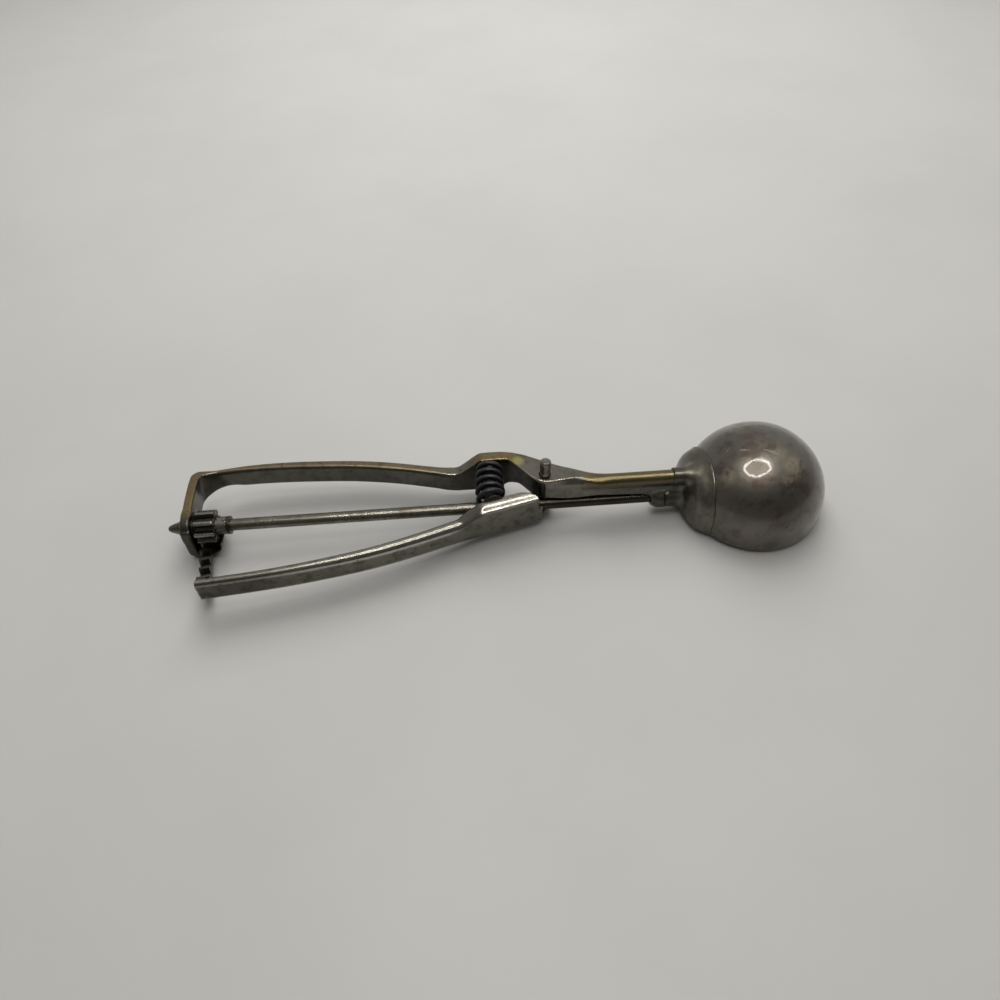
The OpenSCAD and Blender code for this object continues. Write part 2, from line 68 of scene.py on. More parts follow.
# Sizes that the pieces share, in mm
BOWL_R, BOWL_WALL, SKIRT = 28.5, 1.1, 4.8
SHAFT_R, BUSH_R = 2.4, 3.58
PIVOT = (-86.8, 4.9)
PIN_R, PIN_TOP, BOSS_Z = 2.2, 20.3, 13.0
WALL_X0, WALL_X1 = -232.0, -228.4
GRIP_Z, YOKE_HALF, LOBE_R = 5.1, 6.6, 6.9
RIB_Z, RIB_R, WEB_HALF = 11.9, 2.65, 1.75
SEAM_X, BUSH_X, NOSE_X, SOCKET_R = -35.6, -41.0, -37.9, 4.8
SADDLE_X, ARM_X = -21.2, -22.0
LEVER_LOW = -5.7
PINION_X0, PINION_X1, PITCH_R, TEETH = -227.2, -219.4, 5.6, 8
SPRING_X, SPRING_Z, SEAT_Y, PLATE_Y, PEG_R = -108.5, 8.7, -4.1, 14.2, 2.3
SEAT_LEAN, STROKE = math.radians(13), math.radians(7.2885)
LACQUER_SPOT = (-96.9, 12.7)
GRID = 0.36


def row_direction(v):
    """A direction of the drawing in the row frame."""
    return np.asarray(v, float) @ AXES


def to_row(p):
    """Drawing millimetres to row-frame metres: centre + (x ALONG + y ACROSS + z UP) / 1000."""
    return CENTRE + row_direction(p) / 1000


# ---------------- curves


def smooth(a, b, x):
    """Goes from 0 at a to 1 at b as 3t^2 - 2t^3. It falls along x where b is below a."""
    t = np.clip((x - a) / (b - a), 0, 1)
    return t * t * (3 - 2 * t)


def unit(v):
    """The direction of one vector or of rows of them."""
    v = np.array(v, float)
    return v / np.linalg.norm(v, axis=-1, keepdims=True)


def eased(points, spread):
    """y(x) through a broken line of points, its corners eased by a Gaussian of that spread in mm.
    Gives a function that returns the height and the slope at x."""
    fine, beyond = 0.05, 20
    xs, ys = np.array(points, float).T
    t = np.arange(xs[0] - beyond, xs[-1] + beyond, fine)
    first, last = (ys[1] - ys[0]) / (xs[1] - xs[0]), (ys[-1] - ys[-2]) / (xs[-1] - xs[-2])
    y = np.interp(t, xs, ys)
    y += np.where(t < xs[0], (t - xs[0]) * first, 0) + np.where(t > xs[-1], (t - xs[-1]) * last, 0)
    edge = int(4 * spread / fine)
    bell = np.exp(-((np.arange(-edge, edge + 1) * fine) ** 2) / (2 * spread**2))
    y = np.convolve(y, bell / bell.sum(), "same")[edge:-edge]
    t = t[edge:-edge]
    dy = np.gradient(y, t)
    return lambda x: (np.interp(x, t, y), np.interp(x, t, dy))


def two_eased(points, calm, tight, a, b):
    """A line eased by the calm spread before x = a and by the tight one after x = b."""
    f, g = eased(points, calm), eased(points, tight)

    def read(x):
        w = smooth(a, b, x)
        (y0, d0), (y1, d1) = f(x), g(x)
        return y0 + w * (y1 - y0), d0 + w * (d1 - d0)

    return read


def side_of(line, x, y):
    """Distance above a line y(x), measured square to it: (y - y(x)) / sqrt(1 + y'^2)."""
    height, slope = line(x)
    return (y - height) / np.sqrt(1 + slope**2)


def closed_line(points, r, steps=5):
    """A closed outline with each corner cut by a parabola that starts r before it."""
    p = np.array(points, float)
    before, after = np.roll(p, 1, 0) - p, np.roll(p, -1, 0) - p
    lb, la = np.linalg.norm(before, axis=1), np.linalg.norm(after, axis=1)
    r = np.minimum(np.broadcast_to(r, lb.shape), 0.45 * np.minimum(lb, la))
    a, b = p + before * (r / lb)[:, None], p + after * (r / la)[:, None]
    t = np.linspace(0, 1, steps)[None, :, None]
    curve = (1 - t) ** 2 * a[:, None] + 2 * t * (1 - t) * p[:, None] + t**2 * b[:, None]
    return curve.reshape(-1, 2)


def inside_of(outline):
    """Signed distance to a closed outline in a plane: the least distance to its sides, and
    negative inside, where a line to one side crosses the outline an odd number of times."""
    a = np.asarray(outline, float)
    b = np.roll(a, -1, 0)
    ab = b - a

    def read(u, v):
        u, v = np.broadcast_arrays(u, v)
        shape, u, v = u.shape, u.reshape(-1, 1), v.reshape(-1, 1)
        pu, pv = u - a[:, 0], v - a[:, 1]
        t = np.clip((pu * ab[:, 0] + pv * ab[:, 1]) / (ab**2).sum(1), 0, 1)
        gap = np.hypot(pu - t * ab[:, 0], pv - t * ab[:, 1]).min(1)
        spans = (a[:, 1] > v) != (b[:, 1] > v)
        rise = np.where(ab[:, 1] == 0, 1e-9, ab[:, 1])
        hits = (spans & (u < a[:, 0] + ab[:, 0] * pv / rise)).sum(1)
        return np.where(hits % 2 == 1, -gap, gap).reshape(shape)

    return read


# ---------------- solids as distance fields


def merge(a, b, r):
    """Both solids, with a fillet of radius r where they meet."""
    return np.maximum(r, np.minimum(a, b)) - np.hypot(np.maximum(r - a, 0), np.maximum(r - b, 0))


def common(a, b, r):
    """What both solids share, with its new edge rounded by r."""
    return np.minimum(-r, np.maximum(a, b)) + np.hypot(np.maximum(r + a, 0), np.maximum(r + b, 0))


def carve(a, b, r):
    """Solid a without solid b, with the rim of the cut rounded by r."""
    return common(a, -b, r)


def between(x, low, high):
    """A slab: negative where low < x < high."""
    return np.maximum(low - x, x - high)


def bar(x, y, p, rp, q, rq):
    """A tapered bar in plan: distance to the line p-q less a radius that goes from rp to rq."""
    p, q = np.array(p, float), np.array(q, float)
    d = q - p
    t = np.clip(((x - p[0]) * d[0] + (y - p[1]) * d[1]) / (d @ d), 0, 1)
    return np.hypot(x - p[0] - t * d[0], y - p[1] - t * d[1]) - (rp + t * (rq - rp))


def unevenness(x, y, z, size, height):
    """The slight waves of hand-finished metal: two products of three sines, of that height."""
    a = np.sin(x / size + 1.1) * np.sin(y / (0.8 * size) + 2.3) * np.sin(z / (0.9 * size) + 0.7)
    b = np.sin(x / (0.43 * size) + 4.0) * np.sin(y / (0.5 * size)) * np.sin(z / (0.47 * size) + 1.9)
    return height * (a + 0.5 * b)


def gradient(field, p, e):
    """Field and its central differences at points p."""
    x, y, z = p.T
    g = [
        field(x + e, y, z) - field(x - e, y, z),
        field(x, y + e, z) - field(x, y - e, z),
        field(x, y, z + e) - field(x, y, z - e),
    ]
    return field(x, y, z), np.stack(g, 1) / (2 * e)


CORNERS = np.array([(i, j, k) for i in (0, 1) for j in (0, 1) for k in (0, 1)])
CELL_EDGES = [(a, b) for a in range(8) for b in range(a)
              if np.abs(CORNERS[a] - CORNERS[b]).sum() == 1]


def skin_of(field, low, high, step, passes=3):
    """The skin of a field's negative side, as points and quads. Each grid cell that the skin
    crosses has one point, at the mean of the crossings on its edges, and each crossed grid edge has
    one quad, between its four cells. The points are then moved half way to the mean of their
    neighbours, and less the last time, and back to the skin by -f grad f / |grad f|^2."""
    axes = [np.arange(a, b + step, step) for a, b in zip(low, high)]
    shape = tuple(len(a) for a in axes)
    f = field(*np.meshgrid(*axes, indexing="ij", sparse=True))
    f = np.array(np.broadcast_to(f, shape), np.float32)
    solid = f < 0
    nx, ny, nz = (s - 1 for s in shape)
    full = sum(solid[i : nx + i, j : ny + j, k : nz + k].astype(np.int8) for i, j, k in CORNERS)
    mixed = (full > 0) & (full < 8)
    cells = np.argwhere(mixed)
    number = np.full(mixed.shape, -1, np.int32)
    number[mixed] = np.arange(len(cells))
    value = np.stack([f[tuple((cells + c).T)] for c in CORNERS], 1)
    total, hits = np.zeros((len(cells), 3)), np.zeros((len(cells), 1))
    for a, b in CELL_EDGES:
        crossed = (value[:, a] < 0) != (value[:, b] < 0)
        t = np.where(crossed, value[:, a] / np.where(crossed, value[:, a] - value[:, b], 1), 0)
        total += np.where(crossed[:, None], CORNERS[a] + t[:, None] * (CORNERS[b] - CORNERS[a]), 0)
        hits += crossed[:, None]
    p = np.array(low, float) + (cells + total / hits) * step

    quads = []
    for a in range(3):
        b, c = (np.eye(3, dtype=int)[(a + k) % 3] for k in (1, 2))
        here, ahead = ((slice(None),) * a + (s,) for s in (slice(0, -1), slice(1, None)))
        g = np.argwhere(solid[here] != solid[ahead])
        q = np.stack([number[tuple((g + s).T)] for s in (-b - c, -c, 0 * b, -b)], 1)
        outward = solid[tuple(g.T)]
        quads.append(np.where(outward[:, None], q, q[:, ::-1]))
    quads = np.concatenate(quads)

    near = np.roll(quads, 1, 1)
    a, b = np.concatenate([quads, near]).ravel(), np.concatenate([near, quads]).ravel()
    met = np.bincount(a, minlength=len(p))[:, None]
    for k in range(passes):
        mean = np.stack([np.bincount(a, p[b, i], len(p)) for i in range(3)], 1) / met
        p = p + (0.5 if k < passes - 1 else 0.15) * (mean - p)
        for _ in range(2):
            value, slope = gradient(field, p, 0.05)
            p = p - value[:, None] * slope / np.maximum((slope**2).sum(1), 0.05)[:, None]
    return p, quads


def wear_of(field, p):
    """Outward directions and two marks for each point. edge: how sharply the skin turns outwards,
    from the field's Laplacian. hollow: how much the room in front of the skin is walled in, from
    the field 1.2, 2.5 and 5 mm out."""
    value, n = gradient(field, p, 0.3)
    n /= np.maximum(np.linalg.norm(n, axis=1), 1e-6)[:, None]
    x, y, z = p.T
    e = 0.5
    around = field(x + e, y, z) + field(x - e, y, z) + field(x, y + e, z) + field(x, y - e, z)
    around += field(x, y, z + e) + field(x, y, z - e)
    edge = smooth(0.3, 1.2, (around - 6 * value) / e**2)
    room = sum(np.clip(field(*(p + d * n).T) / d, 0, 1) for d in (1.2, 2.5, 5.0)) / 3
    return n, edge, np.clip(1.15 - room * 1.2, 0, 1)


# ---------------- pieces


def place(name, data):
    """A new object in the scene."""
    obj = bpy.data.objects.new(name, data)
    bpy.context.scene.collection.objects.link(obj)
    return obj


def piece(name, points, faces, body, material, stands_for, marks):
    """A smooth mesh of drawing points that rides on a body and stands for CAD nodes. marks are
    named numbers, one for each point."""
    mesh = bpy.data.meshes.new(name)
    mesh.from_pydata(to_row(points), [], faces)
    mesh.update()
    mesh.shade_smooth()
    for key, value in marks.items():
        layer = mesh.attributes.new(key, "FLOAT", "POINT")
        layer.data.foreach_set("value", np.asarray(value, np.float32))
    obj = place(name, mesh)
    mesh.materials.append(material)
    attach(obj, body)
    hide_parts(*stands_for)
    return obj


def cast(name, field, low, high, marks_of, body, material, stands_for):
    """A piece from a field, with its edge and hollow marks. marks_of(points, directions) gives
    further marks, and edge_share and hollow_share, which those two are multiplied by."""
    p, quads = skin_of(field, low, high, GRID)
    n, edge, hollow = wear_of(field, p)
    marks = marks_of(p, n)
    marks["edge"] = edge * marks.pop("edge_share")
    marks["hollow"] = np.clip(hollow * marks.pop("hollow_share"), 0, 1)
    return piece(name, p, quads.tolist(), body, material, stands_for, marks)


def grid_faces(rows, cols, wrap_rows, wrap_cols):
    """Quads of a grid of rows x cols points, closed across either edge where it wraps."""
    ends = rows if wrap_rows else rows - 1, cols if wrap_cols else cols - 1
    i, j = np.meshgrid(np.arange(ends[0]), np.arange(ends[1]), indexing="ij")
    i2, j2 = (i + 1) % rows, (j + 1) % cols
    quads = np.stack([i * cols + j, i * cols + j2, i2 * cols + j2, i2 * cols + j], -1)
    return quads.reshape(-1, 4)


def fan(tip, start, count, back=False):
    """Triangles from the point numbered tip to the sides of a ring of points numbered from start,
    the other way round if back."""
    k = start + np.arange(count)
    sides = [np.roll(k, -1), k] if back else [k, np.roll(k, -1)]
    return np.stack([np.full(count, tip), *sides], 1).tolist()


def crisp(profile, r, steps=4):
    """An open profile with its corners rounded by r, and a point 1.6 r either side of each corner
    that keeps the faces flat."""
    p = np.array(profile, float)
    out = [p[:1]]
    for a, c, b in zip(p[:-2], p[1:-1], p[2:]):
        la, lb = np.linalg.norm(a - c), np.linalg.norm(b - c)
        k = min(r, 0.3 * la, 0.3 * lb)
        ua, ub = (a - c) / la, (b - c) / lb
        t = np.linspace(0, 1, steps)[:, None]
        arc = (1 - t) ** 2 * (c + k * ua) + 2 * t * (1 - t) * c + t**2 * (c + k * ub)
        out += [(c + 1.6 * k * ua)[None], arc, (c + 1.6 * k * ub)[None]]
    out.append(p[-1:])
    return np.concatenate(out)


def turned(profile, base, axis, around, closed):
    """A turned part: profile points (t, r) go round the line base + t axis, as r (cos a u +
    sin a v) for u and v square to the axis. An open profile starts and ends on the axis, where its
    ring of points becomes one. The profile runs so that t grows on the outside."""
    axis = unit(axis)
    side = unit(np.cross(axis, [0.31, 0.17, 0.93]))
    third = np.cross(axis, side)
    t, r = np.asarray(profile, float).T
    a = np.linspace(0, 2 * math.pi, around, endpoint=False)
    ring = np.cos(a)[:, None] * side + np.sin(a)[:, None] * third
    p = np.array(base, float) + t[:, None, None] * axis + r[:, None, None] * ring
    if closed:
        return p.reshape(-1, 3), grid_faces(len(t), around, True, True).tolist()
    rows = len(t) - 2
    points = np.concatenate([p[0, :1], p[1:-1].reshape(-1, 3), p[-1, :1]])
    faces = fan(0, 1, around, back=True) + (grid_faces(rows, around, False, True) + 1).tolist()
    return points, faces + fan(1 + rows * around, 1 + (rows - 1) * around, around)


# ---------------- materials


def shade(colour, scale=1.0):
    """A colour for a socket, made darker or lighter by a scale."""
    return (*[min(1.0, scale * c) for c in colour], 1)


class Graph:
    """Short calls for making and joining nodes in one tree."""

    def __init__(self, tree):
        self.tree = tree

    def add(self, kind, **given):
        """A shader node or a group's end. Names with a capital are inputs, with _ for each space,
        and the others are settings."""
        made = self.tree.nodes.new(kind if kind.startswith("Node") else "ShaderNode" + kind)
        for key, value in given.items():
            if key[0].isupper():
                self.put(made, key.replace("_", " "), value)
            else:
                setattr(made, key, value)
        return made

    def put(self, made, key, value):
        """Joins another node's output to an input, or sets the input to a plain value."""
        if isinstance(value, bpy.types.NodeSocket):
            self.tree.links.new(value, made.inputs[key])
        elif value is not None:
            made.inputs[key].default_value = value

    def fill(self, made, inputs):
        """Puts pairs of an input's number and its value, and gives the node's outputs."""
        for k, value in inputs:
            self.put(made, k, value)
        return made.outputs

    def sum(self, kind, a, b=None, clamp=False):
        """A Math node of that kind."""
        return self.fill(self.add("Math", operation=kind, use_clamp=clamp), enumerate((a, b)))[0]

    def times(self, a, b):
        return self.sum("MULTIPLY", a, b)

    def plus(self, base, mark, share, clamp=False):
        """base + share x mark."""
        return self.sum("ADD", base, self.times(mark, share), clamp)

    def spread(self, value, a, b, low=0.0, high=1.0):
        """Smoothly from low where the value is a to high where it is b."""
        made = self.add("MapRange", interpolation_type="SMOOTHSTEP")
        return self.fill(made, enumerate((value, a, b, low, high)))[0]

    def mix(self, share, a, b):
        """Colour a with that share of colour b."""
        return self.fill(self.add("Mix", data_type="RGBA"), ((0, share), (6, a), (7, b)))[2]

    def lay(self, base, mark, share, tint, scale=1.0):
        """A tint over the base colour where the mark is, at most by that share."""
        return self.mix(self.times(mark, share), base, shade(tint, scale))

    def noise(self, where, size, detail, rough):
        made = self.add("TexNoise", Vector=where, Scale=size, Detail=detail, Roughness=rough)
        return made.outputs[0]

    def mark(self, name):
        return self.add("Attribute", attribute_name=name).outputs["Fac"]

    def use(self, group, **inputs):
        return self.add("Group", node_tree=group, **inputs).outputs

    def finish(self, shader, kind="OutputMaterial"):
        self.add(kind, Surface=shader.outputs[0])


def blank(owner):
    """The graph of a new material or world, with its nodes taken out."""
    owner.use_nodes = True
    owner.node_tree.nodes.clear()
    return Graph(owner.node_tree)


def group(name, inputs, outputs, build):
    """A node group with float or vector sockets. build(graph, inputs) gives the outputs by name."""
    tree = bpy.data.node_groups.new(name, "ShaderNodeTree")
    for key, default in inputs.items():
        kind = "NodeSocketVector" if default is None else "NodeSocketFloat"
        socket = tree.interface.new_socket(key, in_out="INPUT", socket_type=kind)
        if default is not None:
            socket.default_value = default
    for key in outputs:
        tree.interface.new_socket(key, in_out="OUTPUT", socket_type="NodeSocketFloat")
    g = Graph(tree)
    source, sink = g.add("NodeGroupInput"), g.add("NodeGroupOutput")
    made = build(g, source.outputs)
    for key in outputs:
        g.put(sink, key, made[key])
    return tree


def build_mottle(g, i):
    """Tarnish: broad clouds with finer ones in them, and a fine grain."""
    broad = g.noise(i["Where"], g.sum("DIVIDE", 1.0, i["Size"]), 4.0, 0.6)
    middle = g.noise(i["Where"], g.sum("DIVIDE", 4.3, i["Size"]), 3.0, 0.6)
    fine = g.noise(i["Where"], g.sum("DIVIDE", 30.0, i["Size"]), 2.0, 0.5)
    both = g.plus(g.times(broad, 0.62), middle, 0.38)
    return {"Cloud": g.spread(both, 0.4, 0.62), "Patch": g.spread(middle, 0.5, 0.68), "Grain": fine}


def build_hairlines(g, i):
    """Scratches: thin level lines of three long-drawn noises that cross at angles, broken by a
    fourth."""
    both = 0.0
    for turn, size in ((0.35, 0.9), (-0.75, 1.4), (1.35, 1.1)):
        drawn = g.add("Mapping", Vector=i["Where"], Rotation=(turn, 0.6 * turn, turn),
                      Scale=(0.05 * size, 0.9 * size, 0.9 * size))
        n = g.noise(drawn.outputs[0], 1.0, 1.0, 0.4)
        off = g.sum("ABSOLUTE", g.sum("SUBTRACT", n, 0.5))
        line = g.spread(off, g.times(i["Width"], 0.006), 0.0)
        both = g.sum("MAXIMUM", both, line)
    broken = g.spread(g.noise(i["Where"], 0.22, 2.0, 0.6), 0.5, 0.62)
    return {"Line": g.times(both, broken)}


def build_pits(g, i):
    """Small pits: round spots at the points of a cell pattern, in the cells whose own number is
    below the share."""
    size = g.sum("DIVIDE", 1.0, i["Size"])
    cells = g.add("TexVoronoi", Vector=i["Where"], Scale=size)
    pick = g.add("SeparateColor", Color=cells.outputs["Color"]).outputs[0]
    near = g.spread(cells.outputs["Distance"], 0.28, 0.08)
    chosen = g.spread(pick, i["Share"], g.times(i["Share"], 0.8))
    return {"Pit": g.times(near, chosen)}


def build_wear(g, i):
    """Where a hand rubs, and where dirt stays: the edge and hollow marks, moved up and down by a
    noise so that their outlines are broken."""
    n = g.sum("SUBTRACT", g.noise(i["Where"], 0.55, 3.0, 0.6), 0.5)
    moved, dirt = g.plus(i["Edge"], n, 1.1), g.plus(i["Hollow"], n, 0.5)
    return {"Rubbed": g.spread(moved, 0.35, 0.85), "Dirt": g.spread(dirt, 0.3, 0.85)}


MOTTLE = group("mottle", {"Where": None, "Size": 12.0}, ["Cloud", "Patch", "Grain"], build_mottle)
HAIRLINES = group("hairlines", {"Where": None, "Width": 1.0}, ["Line"], build_hairlines)
PITS = group("pits", {"Where": None, "Size": 2.5, "Share": 0.1}, ["Pit"], build_pits)
WEAR = group("wear", {"Where": None, "Edge": 0.0, "Hollow": 0.0}, ["Rubbed", "Dirt"], build_wear)


def metal(name, plate, tarnish, stain, worn, rough, size, patch=0.3, speck=0.25, rub=0.8, pit=0.1,
          pit_size=2.2, line=1.0, grain=0.25, stretch=(1, 1, 1), bump=0.12, matte=0.0, coat=0.0,
          metallic=1.0, brass=None, lacquer=None, marks=()):
    """Old plated or bare metal. plate is its clean colour, tarnish its clouds, stain its patches,
    pits and dirt and the colour of the painted shade, and worn what shows where it is rubbed. rough
    is the roughness where it is clean, tarnished and rubbed, and matte is added to it away from the
    shine mark, where coat is the clear coat. size and pit_size are in mm, line and grain are the
    scratches' width and the fine relief, which is stretched, and patch, speck, rub and pit are
    shares. The marks of the pieces lead it: edge is rubbed, hollow is dirty, dark is mostly painted
    shade and real stains on the bowl, shine is polished and coated, brass has lost its plating and
    yellow has old lacquer. marks says which of shine and dark there are."""
    made = bpy.data.materials.new(name)
    g = blank(made)
    seat = g.add("TexCoord").outputs["Object"]
    where = g.add("Mapping", Vector=seat, Scale=(1000, 1000, 1000)).outputs[0]
    drawn = g.add("Mapping", Vector=where, Scale=stretch).outputs[0]
    clouds = g.use(MOTTLE, Where=where, Size=size)
    scratch = g.use(HAIRLINES, Where=where, Width=line)["Line"]
    pits = g.use(PITS, Where=where, Size=pit_size, Share=pit)["Pit"]
    wear = g.use(WEAR, Where=where, Edge=g.mark("edge"), Hollow=g.mark("hollow"))
    rubbed = g.times(wear["Rubbed"], rub)

    colour = g.mix(clouds["Cloud"], shade(plate), shade(tarnish))
    colour = g.lay(colour, clouds["Patch"], patch, stain)
    specks = g.spread(g.noise(where, 1.7, 2.0, 0.6), 0.5, 0.72)
    colour = g.lay(colour, specks, speck, tarnish, 0.5)
    colour = g.mix(rubbed, colour, shade(worn))
    clean, dim, bright = rough
    rough = g.plus(clean, clouds["Cloud"], dim - clean)
    rough = g.plus(rough, g.sum("SUBTRACT", clouds["Grain"], 0.5), 0.12)
    rough = g.plus(rough, rubbed, bright - clean)
    if "shine" in marks:
        shine = g.mark("shine")
        colour = g.lay(colour, shine, 0.15, worn)
        rough = g.plus(g.sum("ADD", rough, matte), shine, -0.05 - matte)
        coat = g.sum("MAXIMUM", shine, coat)
    if brass:
        bare = g.spread(g.plus(g.mark("brass"), clouds["Patch"], -0.35), 0.15, 0.7)
        colour = g.mix(bare, colour, shade(brass))
        streak = g.spread(g.noise(where, 0.8, 4.0, 0.65), 0.42, 0.75)
        colour = g.lay(colour, g.times(bare, streak), 0.45, stain)
    if lacquer:
        colour = g.lay(colour, g.mark("yellow"), 0.85, lacquer)
    colour = g.lay(colour, scratch, 0.4, plate, 1.6)
    colour = g.lay(colour, pits, 0.8, stain, 0.3)
    colour = g.lay(colour, wear["Dirt"], 0.8, stain, 0.35)
    # painted shade: the dark mark lays a darkened stain colour over faces in shade; on the bowl it
    # marks real stains
    if "dark" in marks:
        colour = g.lay(colour, g.mark("dark"), 0.9, stain, 0.45)
    rough = g.plus(rough, wear["Dirt"], 0.35, clamp=True)

    fine = g.times(g.noise(drawn, 3.0, 3.0, 0.6), grain)
    height = g.plus(g.plus(g.plus(fine, clouds["Grain"], 0.25), scratch, -0.5), pits, -1.2)
    relief = g.add("Bump", Height=height, Strength=bump, Distance=0.0001)
    g.finish(g.add("BsdfPrincipled", Base_Color=colour, Roughness=rough,
                   Metallic=metallic, Coat_Weight=coat, Coat_Roughness=0.09, Coat_IOR=1.5,
                   Normal=relief.outputs[0]))
    return made


bowl_plate = metal(
    "bowl_plate", (0.148, 0.13, 0.109), (0.094, 0.088, 0.068), (0.084, 0.057, 0.042),
    (0.34, 0.32, 0.28), brass=(0.27, 0.245, 0.17), size=26.0, rough=(0.36, 0.43, 0.3), pit=0.05,
    pit_size=3.2, line=0.6, grain=0.1, bump=0.08, coat=1.0, patch=0.8, speck=0.15, marks=["dark"],
)
saddle_plate = metal(
    "saddle_plate", (0.172, 0.165, 0.132), (0.13, 0.124, 0.098), (0.06, 0.052, 0.037),
    (0.26, 0.24, 0.2), size=18.0, rough=(0.34, 0.42, 0.26), pit=0.12, line=0.6, grain=0.2,
    coat=0.3, rub=0.3, marks=["shine", "dark"],
)
cast_plate = metal(
    "cast_plate", (0.196, 0.186, 0.156), (0.142, 0.134, 0.11), (0.06, 0.051, 0.037),
    (0.36, 0.33, 0.27), brass=(0.225, 0.165, 0.085), lacquer=(0.44, 0.41, 0.15), size=17.0,
    rough=(0.3, 0.38, 0.22), coat=0.3, marks=["shine", "dark"],
)
lever_plate = metal(
    "lever_plate", (0.225, 0.219, 0.184), (0.166, 0.161, 0.132), (0.075, 0.064, 0.045),
    (0.5, 0.48, 0.43), size=15.0, rough=(0.26, 0.32, 0.18), matte=0.16, pit=0.12, grain=0.3,
    patch=0.5, marks=["shine", "dark"],
)
gear_steel = metal(
    "gear_steel", (0.105, 0.1, 0.089), (0.07, 0.067, 0.059), (0.04, 0.034, 0.027),
    (0.34, 0.33, 0.3), size=5.0, rough=(0.28, 0.38, 0.22), pit_size=1.2, grain=0.3, rub=0.7,
)
shaft_steel = metal(
    "shaft_steel", (0.23, 0.217, 0.186), (0.162, 0.151, 0.126), (0.065, 0.054, 0.04),
    (0.34, 0.32, 0.28), size=14.0, rough=(0.27, 0.33, 0.22), pit_size=1.8, grain=0.3,
    stretch=(0.12, 1.5, 1.5), bump=0.05, marks=["dark"],
)
pin_steel = metal(
    "pin_steel", (0.25, 0.24, 0.212), (0.17, 0.162, 0.14), (0.08, 0.07, 0.05), (0.4, 0.38, 0.34),
    size=8.0, rough=(0.24, 0.31, 0.2), pit=0.03, pit_size=1.0, grain=0.08, patch=0.15, speck=0.12,
    bump=0.05, marks=["dark"],
)
nut_brass = metal(
    "nut_brass", (0.18, 0.16, 0.108), (0.115, 0.103, 0.072), (0.05, 0.042, 0.028),
    (0.3, 0.27, 0.18), size=4.0, rough=(0.3, 0.38, 0.25), pit_size=1.2, grain=0.3,
)
bearing_bronze = metal(
    "bearing_bronze", (0.2, 0.14, 0.08), (0.11, 0.08, 0.05), (0.05, 0.038, 0.025),
    (0.35, 0.26, 0.15), size=3.0, rough=(0.34, 0.5, 0.26), pit_size=1.0, grain=0.3,
)
blade_steel = metal(
    "blade_steel", (0.4, 0.39, 0.36), (0.27, 0.26, 0.235), (0.14, 0.12, 0.09), (0.55, 0.53, 0.5),
    size=9.0, rough=(0.24, 0.34, 0.18), pit=0.06, grain=0.3, stretch=(0.5, 0.5, 4.0),
)
rust_brown = metal(
    "rust_brown", (0.06, 0.045, 0.036), (0.038, 0.027, 0.021), (0.02, 0.014, 0.01),
    (0.1, 0.08, 0.065), size=3.0, rough=(0.42, 0.55, 0.36), pit_size=1.0, grain=0.4, metallic=0.7,
)
spring_black = metal(
    "spring_black", (0.014, 0.014, 0.017), (0.009, 0.009, 0.012), (0.016, 0.014, 0.012),
    (0.045, 0.045, 0.05), size=4.0, rough=(0.36, 0.46, 0.32), pit=0.06, pit_size=0.9, grain=0.3,
    metallic=0.4,
)

# ---------------- frame casting

GRIP_IN = [
    (-240, 23.0), (-232, 23.3), (-228, 23.65), (-219, 24.45), (-210.8, 24.9), (-202, 24.95),
    (-193.8, 24.75), (-185.3, 24.35), (-176.7, 23.8), (-168, 23.1), (-159.5, 22.0), (-151, 20.6),
    (-142.4, 18.75), (-134, 16.6), (-127.5, 14.75), (-123.5, PLATE_Y), (-100.9, PLATE_Y),
    (-96.6, 9.0), (-92.9, 3.9), (-91.0, 1.9), (-89.2, 0.6), (-87.2, 0.0), (-85, 0.0),
    (-81.2, 0.7), (-77.1, 1.5), (-72.6, 1.7), (-50, 1.7),
]
GRIP_OUT = [
    (-240, 24.4), (-232, 24.9), (-228, 25.6), (-223.7, 26.4), (-219, 27.1), (-214, 27.8),
    (-208, 28.4), (-202, 28.7), (-193.8, 28.75), (-185.3, 28.5), (-176.7, 28.0), (-168, 27.4),
    (-159.5, 26.4), (-151, 25.1), (-142.4, 23.3), (-134, 21.3), (-127, 19.7), (-122, 19.0),
    (-103.7, 19.0), (-99.6, 18.2), (-95.6, 17.0), (-91.7, 15.1), (-87.8, 12.9), (-80.1, 8.8),
    (-76.2, 7.4), (-72.4, 5.7), (-68.5, 4.1), (-64.6, 3.2), (-58, 2.0), (-50, 1.2),
]
WALL_TOP = [
    (-20, -16), (-7.6, -3.2), (-5.9, 2.4), (-1.4, 5.6), (3, 6.5), (8, 7.0), (17, 7.0), (22, 6.3),
    (27, 5.3), (32, 5.0),
]
YOKE = closed_line(
    [(WALL_X0, 4), (WALL_X0, -9.4), (-229.6, -12.7), (-224.6, -12.7), (-222.3, -11.4),
     (-218.9, -8.4), (-217.6, -4.3), (-218.95, -4.3), (-219.1, -7.2), (-222.4, -9.75),
     (WALL_X1, -9.75), (WALL_X1, 4)],
    [0.3, 3.0, 2.6, 2.4, 3.0, 2.4, 0.9, 0.6, 1.2, 1.4, 1.6, 0.3],
)
grip_in = two_eased(GRIP_IN, 4.0, 1.1, -134, -126)
grip_out = two_eased(GRIP_OUT, 4.0, 1.2, -132, -126)
grip_top = eased([(-240, GRIP_Z), (-121.3, GRIP_Z), (-112.6, BOSS_Z), (-40, BOSS_Z)], 1.1)
grip_low = eased([(-240, -GRIP_Z), (-104, -5.2), (-96.6, 3.2), (-40, 3.2)], 0.8)
wall_top = eased(WALL_TOP, 1.0)
web_low = eased([(-95, 3.4), (-83, 3.4), (-65, 4.9), (-46, 3.4), (-42.5, 1.0), (-30, 1.0)], 0.9)
yoke_side = inside_of(YOKE)


